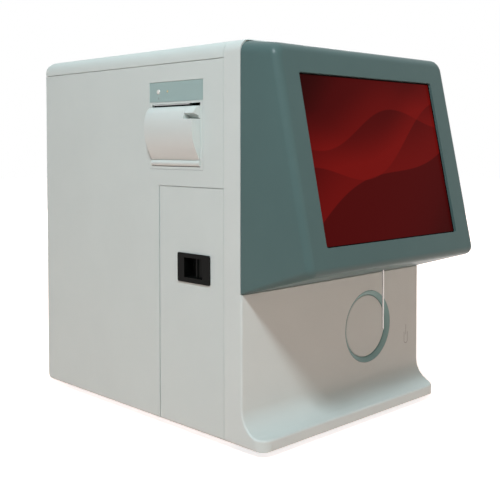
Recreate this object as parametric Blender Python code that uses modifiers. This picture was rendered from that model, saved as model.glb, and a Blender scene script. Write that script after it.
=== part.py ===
"""Bench-top hematology analyzer with an overhanging touch display, a side printer and a sample probe.

The body frame has its zero in the middle of the width, at the plane of the front panel and at the
housing's lower edge. X runs to the right seen from the front, Y runs to the back, Z runs up. A root
empty moves everything so that the world origin lies under the middle of the whole object.
All sizes are in metres.
"""

import math

import bmesh
import bpy
from mathutils import Matrix, Vector

# Fits
GAP = 0.0003
SLIDE_GAP = 0.0004
SEAM = 0.0005
OVERRUN = 0.002
WELD = 0.00001

# Body
BODY_CROWN = 0.0016
REAR_DEPTH = 0.3427
SEAM_DEPTH = 0.0242
COVER_DEPTH = 0.0170
PANEL_SHEET = 0.002
BODY_CORNER_RADIUS = 0.012
BOTTOM_RADIUS = 0.004
REAR_CORNER_RADIUS = 0.008
BASE_MARGIN = 0.008
BOTTOM_FLANGE = 0.020
FOOT_CLEARANCE = 0.006

# Front housing
HOUSING_WALL = 0.003
REBATE_DEPTH = 0.002
FRONT_EDGE_RADIUS = 0.0022
SWEEP_RADIUS = 0.024
FOOT_REACH = 0.0270
FOOT_TOP = 0.0125
FOOT_FRONT_TOP = 0.0115
FOOT_PLAN_RADIUS = 0.015
FOOT_EDGE_RADIUS = 0.0015

# Display bezel
LIP_RISE = 0.0238
LIP_DEPTH = 0.08111
FACE_HEAD = 0.02624
FACE_SIDE_TAPER = 0.0085
FACE_TILT = math.radians(12.2)
BEZEL_HEAD = 0.0041
BEZEL_KEY_SPACE = 0.0187
BEZEL_WALL = 0.003
BEZEL_CORNER_RADIUS = 0.012
BEZEL_UNDER_RADIUS = 0.009
BEZEL_UNDER_RIM_SHARE = 0.25
BEZEL_FACE_RADIUS = 0.0075
BEZEL_SEAM = 0.0008
WINDOW_WIDTH = 0.2166
WINDOW_HEIGHT = 0.1656
WINDOW_SILL = 0.0245
WINDOW_SIDE = 0.0367
WINDOW_OFFSET = -0.0019
WINDOW_CORNER_RADIUS = 0.002
GLASS_MARGIN = 0.006
GLASS_THICKNESS = 0.0018
LCD_MARGIN = 0.010
LCD_THICKNESS = 0.0085
BRACKET_SHEET = 0.0015
BRACKET_POST = 0.012
BRACKET_POST_OUTSET = 0.0053
BRACKET_POST_SILL = 0.0105
BRACKET_POST_HEAD = 0.0368

# Side door
DOOR_DROP = 0.0176
DOOR_WIDTH = 0.0975
DOOR_GAP = 0.0018
DOOR_PIVOT_SETBACK = 0.003
DOOR_PIVOT_INSET = 0.0015
DOOR_FLANGE_START = 0.0055
DOOR_HINGE_LOW = 0.030
DOOR_HINGE_DROP = 0.0238
HINGE_PIN_RADIUS = 0.0012
HINGE_PIN_GAP = 0.0001
HINGE_LUG_HEIGHT = 0.008
HINGE_LUG_HALF = 0.0027
HINGE_TONGUE_BACK = 0.0004
HINGE_ARM_THICKNESS = 0.003
HINGE_LEAF_LENGTH = 0.012
HINGE_LEAF_HEIGHT = 0.020

# Door latch
LATCH_SETBACK = 0.0188
LATCH_LENGTH = 0.0492
LATCH_HEIGHT = 0.0295
LATCH_DROP = 0.0663
LATCH_PROUD = 0.0012
LATCH_DEPTH = 0.012
LATCH_WALL = 0.0015
GRIP_HEIGHT = 0.0012
GRIP_WIDTH = 0.0020
LATCH_CORNER_RADIUS = 0.0015
LATCH_FLANGE = 0.0022
RECESS_FRONT_RIM = 0.0109
RECESS_REAR_RIM = 0.0104
RECESS_LOWER_RIM = 0.0050
RECESS_UPPER_RIM = 0.0045
SLIDER_LENGTH = 0.012
SLIDER_INSET = 0.0025
BOLT_WIDTH = 0.010
BOLT_THICKNESS = 0.003
BOLT_BACK = 0.0035

# Side printer
PRINTER_SETBACK = 0.0299
PRINTER_SIDE = 0.01345
PRINTER_HEIGHT = 0.0895
PRINTER_DROP = 0.0184
STRIP_HEIGHT = 0.0202
STRIP_THICKNESS = 0.0008
FRAME_THICKNESS = 0.0035
COVER_FRONT_RIM = 0.0042
COVER_REAR_RIM = 0.0039
COVER_TOP_DROP = 0.0055
COVER_PIVOT_RISE = 0.0064
COVER_PIVOT_INSET = 0.0014
COVER_KNUCKLE_RADIUS = 0.0032
COVER_BULGE = 0.0110
COVER_WALL = 0.002
COVER_BACK = 0.003
SLOT_HEIGHT = 0.0030
LEVER_WIDTH = 0.0135
LEVER_LENGTH = 0.0127
LEVER_KNUCKLE_RADIUS = 0.0022
LEVER_KNUCKLE_INSET = 0.0005
LEVER_SWING = math.radians(15)
LEVER_RELIEF = math.radians(3)
PLATEN_RADIUS = 0.004
PLATEN_PIN_RADIUS = 0.0015
PLATEN_PIN_LENGTH = 0.0012
PLATEN_DROP = 0.0082
PLATEN_DEPTH = 0.0005
HEAD_THICKNESS = 0.009
HEAD_HEIGHT = 0.010
TEAR_BAR_PROUD = 0.0010
TEAR_TOOTH = 0.0015
TEAR_TEETH = 16
TEAR_BAR_THICKNESS = 0.0008
PAPER_WIDTH = 0.057
ROLL_RADIUS = 0.020
ROLL_DEPTH = 0.0270
ROLL_DROP = 0.0270
HUB_RADIUS = 0.0055
HUB_ENGAGEMENT = 0.004
BAY_WALL = 0.0016
BAY_DEPTH = 0.0510
BUTTON_INSET = 0.0148
BUTTON_RISE = 0.0106
BUTTON_RADIUS = 0.0025
BUTTON_PROUD = 0.0008
BUTTON_FLANGE_RADIUS = 0.0038
BUTTON_FLANGE = 0.0010
LED_INSET = 0.0292
LED_RADIUS = 0.0011
LED_PROUD = 0.0005
LED_TIP_SHARE = 0.7
STATUS_BOARD_THICKNESS = 0.0016
STATUS_BOARD_SETBACK = 0.0085
STATUS_BOARD_MARGIN = 0.006
STATUS_BOSS_RADIUS = 0.0022

# Aspirate key
KEY_INSET = 0.0947
KEY_RISE = 0.0114
RING_RADIUS = 0.0398
RING_INNER_RADIUS = 0.0348
KEY_RADIUS = 0.0343
KEY_RECESS = 0.0035
KEY_THICKNESS = 0.0030
KEY_TRAVEL = 0.0030
KEY_EDGE_RADIUS = 0.0006
KEY_STEM_RADIUS = 0.004
RING_LAND = 0.0005
RING_FLANGE = 0.003
RING_FLANGE_THICKNESS = 0.002
RING_SKIRT_RADIUS = 0.0378
RING_SKIRT_LENGTH = 0.0140
GUIDE_THICKNESS = 0.0022
GUIDE_BOSS_RADIUS = 0.0075
GUIDE_BOSS_LENGTH = 0.0060

# Probe lift
PROBE_Y = -0.0198
PROBE_TIP_DROP = 0.0004
PROBE_RADIUS = 0.0011
PROBE_HEAD_RADIUS = 0.0025
PROBE_HEAD_HEIGHT = 0.004
PROBE_HOLE_RADIUS = 0.0035
PROBE_CLEARANCE = 0.0010
PROBE_TIP_SHARE = 0.6
LIFT_SHEET = 0.002
LIFT_LEFT_REACH = 0.0203
LIFT_RIGHT_REACH = 0.0437
LIFT_RISE = 0.0131
LIFT_HEIGHT = 0.0967
LIFT_EAR_FRONT = -0.0290
ROD_RADIUS = 0.0025
ROD_Y = -0.0095
ROD_LEFT_REACH = 0.0103
ROD_RIGHT_REACH = 0.0097
WASH_HALF_WIDTH = 0.0065
WASH_HEIGHT = 0.0058
WASH_BORE_RADIUS = 0.0015
CARRIAGE_RISE = 0.0087
CARRIAGE_HEIGHT = 0.0160
CARRIAGE_LEFT_REACH = 0.0168
CARRIAGE_FRONT = -0.0245
CARRIAGE_REAR = -0.0040
PULLEY_RADIUS = 0.0100
PULLEY_REACH = 0.0267
PULLEY_RISE = 0.0167
PULLEY_DROP = 0.0160
PULLEY_WIDTH = 0.0060
PULLEY_Y = -0.0095
PULLEY_FLANGE = 0.0012
PULLEY_BORE_RADIUS = 0.0018
BELT_THICKNESS = 0.0012
BELT_WIDTH = 0.0040
MOTOR_SIZE = 0.028
MOTOR_LENGTH = 0.030
MOTOR_CORNER = 0.003
SHAFT_RADIUS = 0.0025
SHAFT_ENTRY = 0.008

# Chassis and inner works
BASE_SHEET = 0.002
RUBBER_FOOT_RADIUS = 0.010
RUBBER_FOOT_BEVEL = 0.0015
RUBBER_FOOT_INSET = 0.035
RUBBER_FOOT_FRONT = 0.062
RUBBER_FOOT_REAR_INSET = 0.0377
CHASSIS_X = -0.021
CHASSIS_SHEET = 0.002
CHASSIS_FRONT = 0.040
CHASSIS_FLANGE = 0.014
SYRINGE_Y = 0.104
SYRINGE_X = -0.062
SYRINGE_BOTTOM = 0.062
SYRINGE_BARREL_RADIUS = 0.008
SYRINGE_BORE_RADIUS = 0.0062
SYRINGE_BARREL_LENGTH = 0.052
SYRINGE_PLUNGER_RADIUS = 0.0060
SYRINGE_ROD_RADIUS = 0.002
SYRINGE_BLOCK = 0.010
HOLDER_WALL = 0.004
BATH_X = -0.060
BATH_Y_PLACES = (0.052, 0.088)
BATH_BOTTOM = 0.152
BATH_HEIGHT = 0.048
BATH_RADIUS = 0.0135
BATH_WALL = 0.002
BATH_SHELF = 0.006
BATH_DRAIN_RADIUS = 0.004
BATH_DRAIN_BORE = 0.0015
BATH_DRAIN_LENGTH = 0.006
VALVE_COUNT = 6
VALVE_PITCH = 0.0165
VALVE_RADIUS = 0.0065
VALVE_LENGTH = 0.022
VALVE_RAIL = 0.002
VALVE_FIRST_Y = 0.046
VALVE_RISE = 0.028
MANIFOLD_HEIGHT = 0.020
MANIFOLD_DEPTH = 0.024
PUMP_Y = 0.060
PUMP_Z = 0.072
PUMP_HEAD_DEPTH = 0.018
PUMP_MOTOR_RADIUS = 0.014
PUMP_MOTOR_LENGTH = 0.030
BOARD_LENGTH = 0.240
BOARD_REAR_INSET = 0.0427
BOARD_HEIGHT = 0.210
BOARD_DROP = 0.0313
BOARD_THICKNESS = 0.0016
BOARD_STANDOFF = 0.008
STANDOFF_RADIUS = 0.003
CHIP_HEIGHT = 0.003
BOARD_CHIP_SHARES = ((0.30, 0.65, 0.20), (0.62, 0.72, 0.12), (0.70, 0.35, 0.16))
SUPPLY_WIDTH = 0.100
SUPPLY_INSET = 0.023
SUPPLY_LENGTH = 0.140
SUPPLY_REAR_INSET = 0.0327
SUPPLY_HEIGHT = 0.055

# Rear panel and its fittings
REAR_SHEET = 0.0015
FAN_INSET = 0.073
FAN_DROP = 0.1013
FAN_SIZE = 0.060
FAN_DEPTH = 0.020
FAN_DUCT_RADIUS = 0.028
FAN_HUB_RADIUS = 0.011
FAN_BLADES = 7
FAN_TIP_GAP = 0.0012
FAN_SPIDER = 0.003
FAN_ARMS = 3
FAN_BLADE_THICKNESS = 0.0012
FAN_BLADE_CHORD = 0.013
FAN_PITCH = math.radians(50)
GUARD_WIRE = 0.0018
GUARD_RINGS = 3
INLET_INSET = 0.058
INLET_Z = 0.050
INLET_WIDTH = 0.0560
INLET_HEIGHT = 0.0280
INLET_DEPTH = 0.022
INLET_FLANGE = 0.003
INLET_CORNER = 0.002
SOCKET_WIDTH = 0.0240
SOCKET_HEIGHT = 0.0160
SOCKET_DEPTH = 0.016
BLADE_WIDTH = 0.004
BLADE_THICKNESS = 0.002
BLADE_LENGTH = 0.012
BLADE_PITCH = 0.0070
BLADE_RISE = 0.003
INLET_SHIFT = 0.003
ROCKER_OFFSET = 0.016
ROCKER_WIDTH = 0.0130
ROCKER_HEIGHT = 0.0190
ROCKER_POCKET = 0.008
ROCKER_PROUD = 0.0035
ROCKER_SWING = math.radians(14)
PORT_PLATE_INSET = 0.053
PORT_PLATE_Z = 0.060
PORT_PLATE_WIDTH = 0.084
PORT_PLATE_HEIGHT = 0.034
PORT_COUNT = 4
PORT_PITCH = 0.019
PORT_RADIUS = 0.0045
PORT_BARB_RADIUS = 0.0035
PORT_BORE_RADIUS = 0.0016
PORT_LENGTH = 0.014
PORT_NECK_SHARE = 0.7
PORT_BARB_SHARE = 0.65
PORT_SHOULDER_SHARE = 0.35
DATA_INSET = 0.057
DATA_DROP = 0.1213
DATA_WIDTH = 0.056
DATA_HEIGHT = 0.020
DATA_DEPTH = 0.016
DATA_POCKET_DEPTH = 0.010
DATA_SOCKET_SHARES = ((-0.34, 0.22, 0.70), (-0.04, 0.26, 0.40), (0.32, 0.28, 0.62))
VENT_COUNT = 9
VENT_LENGTH = 0.090
VENT_WIDTH = 0.004
VENT_PITCH = 0.011
VENT_FRONT = 0.130
VENT_BOTTOM = 0.040

# Angles that tell a flat join and a crease in an outline
FLAT_ANGLE = math.radians(0.5)
CREASE_ANGLE = math.radians(40)

# Facet counts
ARC_STEPS = 5
ROUND_STEPS = 28
FINE_STEPS = 44
CUP_STEPS = 20
SMALL_STEPS = 16
TINY_STEPS = 10

# The case is as wide as the display window and its two sides
BODY_WIDTH = WINDOW_WIDTH + WINDOW_SIDE + WINDOW_SIDE
HALF_WIDTH = BODY_WIDTH / 2
PANEL_X = HALF_WIDTH - PANEL_SHEET
SIDE_FRONT = SEAM_DEPTH + SEAM

# From the foot up: the sweep, the key, the bezel, the window and the crown
KEY_X = HALF_WIDTH - KEY_INSET
KEY_Z = FOOT_TOP + SWEEP_RADIUS + KEY_RISE + RING_RADIUS
BEZEL_BOTTOM = KEY_Z + RING_RADIUS + BEZEL_KEY_SPACE
LIP_HEIGHT = BEZEL_BOTTOM + LIP_RISE
WINDOW_BOTTOM = LIP_HEIGHT + WINDOW_SILL
FACE_TOP = WINDOW_BOTTOM + WINDOW_HEIGHT * math.cos(FACE_TILT) + FACE_HEAD
FACE_HALF_WIDTH = HALF_WIDTH - FACE_SIDE_TAPER
BEZEL_TOP = FACE_TOP + BEZEL_HEAD
BODY_HEIGHT = BEZEL_TOP + BODY_CROWN
COVER_SEAM_HEIGHT = BODY_HEIGHT - COVER_DEPTH
BRACKET_POST_X = WINDOW_WIDTH / 2 + BRACKET_POST_OUTSET
BRACKET_POST_LOW = WINDOW_BOTTOM + BRACKET_POST_SILL
BRACKET_POST_HIGH = FACE_TOP - BRACKET_POST_HEAD

# From the front seam back: the door, the latch and the printer
DOOR_REAR = SIDE_FRONT + DOOR_WIDTH
LATCH_FRONT = SIDE_FRONT + LATCH_SETBACK
LATCH_REAR = LATCH_FRONT + LATCH_LENGTH
RECESS_FRONT = LATCH_FRONT + RECESS_FRONT_RIM
RECESS_REAR = LATCH_REAR - RECESS_REAR_RIM
PRINTER_FRONT = SIDE_FRONT + PRINTER_SETBACK
PRINTER_REAR = PRINTER_FRONT + PRINTER_SIDE + PAPER_WIDTH + PRINTER_SIDE
COVER_FRONT = PRINTER_FRONT + COVER_FRONT_RIM
COVER_REAR = PRINTER_REAR - COVER_REAR_RIM
BUTTON_DEPTH_PLACE = PRINTER_REAR - BUTTON_INSET
LED_DEPTH_PLACE = PRINTER_REAR - LED_INSET

# From the cover's seam down: the printer, the door and its latch
PRINTER_TOP = COVER_SEAM_HEIGHT - PRINTER_DROP
PRINTER_BOTTOM = PRINTER_TOP - PRINTER_HEIGHT
STRIP_BOTTOM = PRINTER_TOP - STRIP_HEIGHT
COVER_TOP = STRIP_BOTTOM - COVER_TOP_DROP
COVER_PIVOT_HEIGHT = PRINTER_BOTTOM + COVER_PIVOT_RISE
LEVER_BOTTOM = COVER_TOP - LEVER_LENGTH
PLATEN_HEIGHT = COVER_TOP - PLATEN_DROP
ROLL_HEIGHT = PLATEN_HEIGHT - ROLL_DROP
BUTTON_HEIGHT_PLACE = STRIP_BOTTOM + BUTTON_RISE
DOOR_TOP = PRINTER_BOTTOM - DOOR_DROP
DOOR_HINGE_HEIGHTS = (DOOR_HINGE_LOW, DOOR_TOP - DOOR_HINGE_DROP)
LATCH_TOP = DOOR_TOP - LATCH_DROP
LATCH_BOTTOM = LATCH_TOP - LATCH_HEIGHT
RECESS_BOTTOM = LATCH_BOTTOM + RECESS_LOWER_RIM
RECESS_TOP = LATCH_TOP - RECESS_UPPER_RIM

# Round the probe
PROBE_X = KEY_X
PROBE_TIP = KEY_Z - PROBE_TIP_DROP
LIFT_LEFT = PROBE_X - LIFT_LEFT_REACH
LIFT_RIGHT = PROBE_X + LIFT_RIGHT_REACH
LIFT_BOTTOM = BEZEL_BOTTOM + LIFT_RISE
LIFT_TOP = LIFT_BOTTOM + LIFT_HEIGHT
ROD_X_PLACES = (PROBE_X - ROD_LEFT_REACH, PROBE_X + ROD_RIGHT_REACH)
CARRIAGE_BOTTOM = LIFT_BOTTOM + CARRIAGE_RISE
CARRIAGE_LEFT = PROBE_X - CARRIAGE_LEFT_REACH
PULLEY_X = PROBE_X + PULLEY_REACH
PULLEY_LOW = LIFT_BOTTOM + PULLEY_RISE
PULLEY_HIGH = LIFT_TOP - PULLEY_DROP

# Inside the case and on its rear
RUBBER_FOOT_X = HALF_WIDTH - RUBBER_FOOT_INSET
RUBBER_FOOT_REAR = REAR_DEPTH - RUBBER_FOOT_REAR_INSET
BOARD_REAR = REAR_DEPTH - BOARD_REAR_INSET
BOARD_FRONT = BOARD_REAR - BOARD_LENGTH
SUPPLY_REAR = REAR_DEPTH - SUPPLY_REAR_INSET
SUPPLY_FRONT = SUPPLY_REAR - SUPPLY_LENGTH
VALVE_HEIGHT = BATH_BOTTOM + BATH_HEIGHT + VALVE_RISE
BOARD_TOP = COVER_SEAM_HEIGHT - BOARD_DROP
BOARD_BOTTOM = BOARD_TOP - BOARD_HEIGHT
SUPPLY_RIGHT = PANEL_X - SUPPLY_INSET
SUPPLY_LEFT = SUPPLY_RIGHT - SUPPLY_WIDTH
FAN_X = PANEL_X - FAN_INSET
FAN_Z = COVER_SEAM_HEIGHT - FAN_DROP
INLET_X = PANEL_X - INLET_INSET
ROCKER_X = INLET_X + ROCKER_OFFSET
PORT_PLATE_X = -PANEL_X + PORT_PLATE_INSET
DATA_X = -PANEL_X + DATA_INSET
DATA_Z = COVER_SEAM_HEIGHT - DATA_DROP
REAR_INNER = REAR_DEPTH - REAR_SHEET
BASE_BOTTOM = PANEL_SHEET + GAP
BASE_TOP = BASE_BOTTOM + BASE_SHEET
CHASSIS_LEFT = CHASSIS_X - CHASSIS_SHEET
FACE_SLOPE = math.tan(FACE_TILT)
BACK_RIM = REBATE_DEPTH - GAP

COLOURS = {
    "white_moulding": ((0.60, 0.62, 0.60), 0.45, 0.0),
    "white_sheet": ((0.58, 0.60, 0.58), 0.5, 0.0),
    "teal_moulding": ((0.09, 0.145, 0.14), 0.45, 0.0),
    "teal_trim": ((0.16, 0.27, 0.28), 0.45, 0.0),
    "teal_strip": ((0.30, 0.39, 0.38), 0.4, 0.0),
    "black_plastic": ((0.012, 0.014, 0.014), 0.4, 0.0),
    "dark_glass": ((0.10, 0.01, 0.01), 0.08, 0.0),
    "steel": ((0.55, 0.56, 0.57), 0.3, 1.0),
    "zinc_sheet": ((0.50, 0.52, 0.53), 0.4, 1.0),
    "rubber": ((0.02, 0.02, 0.02), 0.8, 0.0),
    "paper": ((0.85, 0.85, 0.82), 0.9, 0.0),
    "clear_plastic": ((0.70, 0.78, 0.80), 0.15, 0.0),
    "board_green": ((0.02, 0.14, 0.06), 0.5, 0.0),
    "white_cap": ((0.78, 0.78, 0.76), 0.4, 0.0),
    "amber_lens": ((0.75, 0.72, 0.60), 0.3, 0.0),
}


def start_scene():
    """Empty the scene and make the two collections."""
    for item in list(bpy.data.objects):
        bpy.data.objects.remove(item, do_unlink=True)
    for title in ("hematology_analyzer", "cutters"):
        group = bpy.data.collections.get(title) or bpy.data.collections.new(title)
        if group.name not in bpy.context.scene.collection.children:
            bpy.context.scene.collection.children.link(group)


def material(title):
    """Return the Principled material of that name."""
    found = bpy.data.materials.get(title)
    if found:
        return found
    colour, roughness, metallic = COLOURS[title]
    made = bpy.data.materials.new(title)
    made.use_nodes = True
    shader = made.node_tree.nodes["Principled BSDF"]
    shader.inputs["Base Color"].default_value = (*colour, 1.0)
    shader.inputs["Roughness"].default_value = roughness
    shader.inputs["Metallic"].default_value = metallic
    made.diffuse_color = (*colour, 1.0)
    return made


def closed_mesh(bm, title):
    """Turn a bmesh into a mesh with its faces pointing out."""
    bmesh.ops.recalc_face_normals(bm, faces=bm.faces)
    mesh = bpy.data.meshes.new(title)
    bm.to_mesh(mesh)
    bm.free()
    return mesh


def block(low, high):
    """A box between two corners."""
    bm = bmesh.new()
    bmesh.ops.create_cube(bm, size=1.0)
    low = Vector(low)
    high = Vector(high)
    middle = (low + high) / 2
    size = high - low
    bmesh.ops.transform(bm, matrix=Matrix.Translation(middle) @ Matrix.Diagonal((*size, 1.0)), verts=bm.verts)
    return closed_mesh(bm, "block")


AXES = {
    "X": Matrix(((0, 0, 1), (1, 0, 0), (0, 1, 0))).to_4x4(),
    "Y": Matrix(((1, 0, 0), (0, 0, 1), (0, 1, 0))).to_4x4(),
    "Z": Matrix.Identity(4),
}


def evaluated_mesh(item, title):
    """The mesh of an object with its modifiers applied; the object is removed."""
    bpy.context.view_layer.update()
    graph = bpy.context.evaluated_depsgraph_get()
    mesh = bpy.data.meshes.new_from_object(item.evaluated_get(graph))
    mesh.name = title
    bpy.data.objects.remove(item, do_unlink=True)
    return mesh


def arc(centre, radius, first, last, steps=ARC_STEPS):
    """Points of an arc between two angles in degrees, ends included."""
    points = []
    for index in range(steps + 1):
        angle = math.radians(first + (last - first) * index / steps)
        points.append((centre[0] + radius * math.cos(angle), centre[1] + radius * math.sin(angle)))
    return points


def rounded(corners, steps=ARC_STEPS):
    """An outline from corners (u, v, radius), each drawn as an arc of that radius."""
    points = []
    for index, (u, v, radius) in enumerate(corners):
        here = Vector((u, v))
        if radius == 0:
            points.append((u, v))
            continue
        before = (Vector(corners[index - 1][:2]) - here).normalized()
        after = (Vector(corners[(index + 1) % len(corners)][:2]) - here).normalized()
        half = before.angle(after) / 2
        centre = here + (before + after).normalized() * radius / math.sin(half)
        start = here + before * radius / math.tan(half) - centre
        finish = here + after * radius / math.tan(half) - centre
        first = math.degrees(math.atan2(start.y, start.x))
        turn = math.degrees(math.atan2(start.cross(finish), start.dot(finish)))
        points.extend(arc(centre, radius, first, first + turn, steps))
    return points


def rectangle(low_u, low_v, high_u, high_v, radius=0.0, steps=ARC_STEPS):
    """A rectangle outline with round corners."""
    spots = ((low_u, low_v), (high_u, low_v), (high_u, high_v), (low_u, high_v))
    return rounded([(u, v, radius) for u, v in spots], steps)


def prism(outline, axis, low, high):
    """A flat outline given thickness along an axis, from low to high.

    The outline's points are (y, z) along X, (x, z) along Y and (x, y) along Z.
    """
    curve = bpy.data.curves.new("outline", "CURVE")
    curve.dimensions = "2D"
    curve.fill_mode = "BOTH"
    curve.extrude = (high - low) / 2
    spline = curve.splines.new("POLY")
    spline.points.add(len(outline) - 1)
    for point, (u, v) in zip(spline.points, outline):
        point.co = (u, v, 0.0, 1.0)
    spline.use_cyclic_u = True
    item = bpy.data.objects.new("outline", curve)
    bpy.data.collections["cutters"].objects.link(item)
    mesh = evaluated_mesh(item, "prism")
    bpy.data.curves.remove(curve)
    bm = bmesh.new()
    bm.from_mesh(mesh)
    bmesh.ops.remove_doubles(bm, verts=bm.verts, dist=WELD)
    bmesh.ops.dissolve_limit(bm, angle_limit=math.radians(0.1), verts=bm.verts, edges=bm.edges)
    middle = Matrix.Translation((0, 0, (low + high) / 2))
    bmesh.ops.transform(bm, matrix=AXES[axis] @ middle, verts=bm.verts)
    return closed_mesh(bm, "prism")


def turned(profile, centre, axis="Z", steps=ROUND_STEPS):
    """A profile of (radius, height) turned about an axis through centre.

    The profile runs down the outer side. One that ends off the axis is closed on itself.
    """
    bm = bmesh.new()
    points = [bm.verts.new((radius, 0.0, height)) for radius, height in profile]
    for first, second in zip(points, points[1:]):
        bm.edges.new((first, second))
    if profile[0][0] > 0:
        bm.edges.new((points[-1], points[0]))
    mesh = bpy.data.meshes.new("profile")
    bm.to_mesh(mesh)
    bm.free()
    item = bpy.data.objects.new("profile", mesh)
    bpy.data.collections["cutters"].objects.link(item)
    screw = item.modifiers.new("turn", "SCREW")
    screw.steps = steps
    screw.render_steps = steps
    screw.use_merge_vertices = True
    screw.merge_threshold = WELD
    turned_mesh = evaluated_mesh(item, "turned")
    bm = bmesh.new()
    bm.from_mesh(turned_mesh)
    bmesh.ops.remove_doubles(bm, verts=bm.verts, dist=WELD)
    bmesh.ops.transform(bm, matrix=Matrix.Translation(centre) @ AXES[axis], verts=bm.verts)
    return closed_mesh(bm, "turned")


def rod(radius, low, high, centre, axis="Z", steps=SMALL_STEPS):
    """A cylinder along an axis, from low to high on it."""
    bm = bmesh.new()
    bmesh.ops.create_cone(bm, cap_ends=True, segments=steps, radius1=radius, radius2=radius, depth=high - low)
    bmesh.ops.transform(bm, matrix=Matrix.Translation((0, 0, (low + high) / 2)), verts=bm.verts)
    bmesh.ops.transform(bm, matrix=Matrix.Translation(centre) @ AXES[axis], verts=bm.verts)
    return closed_mesh(bm, "rod")


def bevelled_edges(bm, chosen, radius, steps):
    """Round the edges of a bmesh whose two end points both pass a test."""
    edges = [edge for edge in bm.edges if chosen(edge.verts[0].co, edge.verts[1].co)]
    bmesh.ops.bevel(bm, geom=edges, offset=radius, segments=steps, profile=0.5, affect="EDGES")


def merged(*meshes):
    """Several separate closed bodies in one mesh."""
    bm = bmesh.new()
    for mesh in meshes:
        bm.from_mesh(mesh)
    mesh = bpy.data.meshes.new("merged")
    bm.to_mesh(mesh)
    bm.free()
    return mesh


def temporary(mesh, title):
    """A hidden object in the cutters' collection."""
    item = bpy.data.objects.new(title, mesh)
    item.hide_render = True
    item.display_type = "WIRE"
    bpy.data.collections["cutters"].objects.link(item)
    return item


def combined(mesh, operation, tools):
    """A mesh united with, cut by or kept inside each tool in turn, with the exact solver."""
    item = temporary(mesh, "target")
    helpers = []
    for tool in tools:
        cutter = temporary(tool, "cutter")
        helpers.append(cutter)
        step = item.modifiers.new(operation.lower(), "BOOLEAN")
        step.operation = operation
        step.solver = "EXACT"
        step.object = cutter
    result = evaluated_mesh(item, "solid")
    for cutter in helpers:
        bpy.data.objects.remove(cutter, do_unlink=True)
    return result


def cut(mesh, *tools):
    """Take the tools away from a mesh."""
    return combined(mesh, "DIFFERENCE", tools)


def join(mesh, *tools):
    """Unite a mesh with the tools."""
    return combined(mesh, "UNION", tools)


def keep(mesh, *tools):
    """Keep what a mesh shares with every tool."""
    return combined(mesh, "INTERSECT", tools)


def part(title, mesh, finish, pivot=(0, 0, 0), parent="analyzer_root", smooth=False):
    """A named object of the analyzer, with its origin at pivot in the body frame."""
    pivot = Vector(pivot)
    mesh.name = title
    mesh.transform(Matrix.Translation(-pivot))
    if smooth:
        mesh.shade_smooth()
        mesh.set_sharp_from_angle(angle=math.radians(35))
    mesh.materials.clear()
    mesh.materials.append(material(finish))
    item = bpy.data.objects.new(title, mesh)
    bpy.data.collections["hematology_analyzer"].objects.link(item)
    item.parent = bpy.data.objects[parent]
    item.location = pivot - frame_place(parent)
    return item


def frame_place(title):
    """Where an empty of the analyzer stands in the body frame."""
    place = Vector((0, 0, 0))
    item = bpy.data.objects[title]
    while item.parent:
        place += item.location
        item = item.parent
    return place


def joint_empty(title, pivot, parent="analyzer_root"):
    """An empty on a joint's axis that carries the moving pieces."""
    item = bpy.data.objects.new(title, None)
    item.empty_display_size = PANEL_SHEET
    bpy.data.collections["hematology_analyzer"].objects.link(item)
    item.parent = bpy.data.objects[parent]
    item.location = Vector(pivot) - frame_place(parent)
    return title


def face_y(height):
    """Depth of the bezel's front face plane at a height."""
    return -LIP_DEPTH + (height - LIP_HEIGHT) * FACE_SLOPE


def face_matrix():
    """Turns (x from the window's middle, depth behind the face, distance up it) into the body frame."""
    start = Vector((WINDOW_OFFSET, face_y(WINDOW_BOTTOM), WINDOW_BOTTOM))
    return Matrix.Translation(start) @ Matrix.Rotation(-FACE_TILT, 4, "X")


def behind_face(mesh):
    """Move a mesh drawn in the face's own frame into the body frame."""
    mesh.transform(face_matrix())
    return mesh


def front_housing():
    """The front moulding: hoop, cheeks, lower panel, sweep and foot in one piece."""
    back = SEAM_DEPTH
    profile = rounded([
        (back, 0.0, 0.0),
        (back, BODY_HEIGHT + OVERRUN, 0.0),
        (0.0, BODY_HEIGHT + OVERRUN, 0.0),
        (0.0, FOOT_TOP, SWEEP_RADIUS),
        (-FOOT_REACH, FOOT_FRONT_TOP, 0.0),
        (-FOOT_REACH, 0.0, FOOT_EDGE_RADIUS),
    ])
    shell = prism(profile, "X", -HALF_WIDTH - OVERRUN, HALF_WIDTH + OVERRUN)
    plan = rounded([
        (-HALF_WIDTH, back + OVERRUN, 0.0),
        (-HALF_WIDTH, -FOOT_REACH, FOOT_PLAN_RADIUS),
        (HALF_WIDTH, -FOOT_REACH, FOOT_PLAN_RADIUS),
        (HALF_WIDTH, back + OVERRUN, 0.0),
    ])
    front = rounded([
        (-HALF_WIDTH, 0.0, BOTTOM_RADIUS),
        (HALF_WIDTH, 0.0, BOTTOM_RADIUS),
        (HALF_WIDTH, BODY_HEIGHT, BODY_CORNER_RADIUS),
        (-HALF_WIDTH, BODY_HEIGHT, BODY_CORNER_RADIUS),
    ])
    shell = keep(
        shell,
        prism(plan, "Z", -OVERRUN, BODY_HEIGHT + OVERRUN + OVERRUN),
        prism(front, "Y", -FOOT_REACH - OVERRUN, back + OVERRUN),
    )
    shell = cut(rounded_front(shell), housing_hollow(), bezel_rebate(), key_opening(), shaft_opening())
    part("front_housing", shell, "white_moulding", smooth=True)


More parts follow.
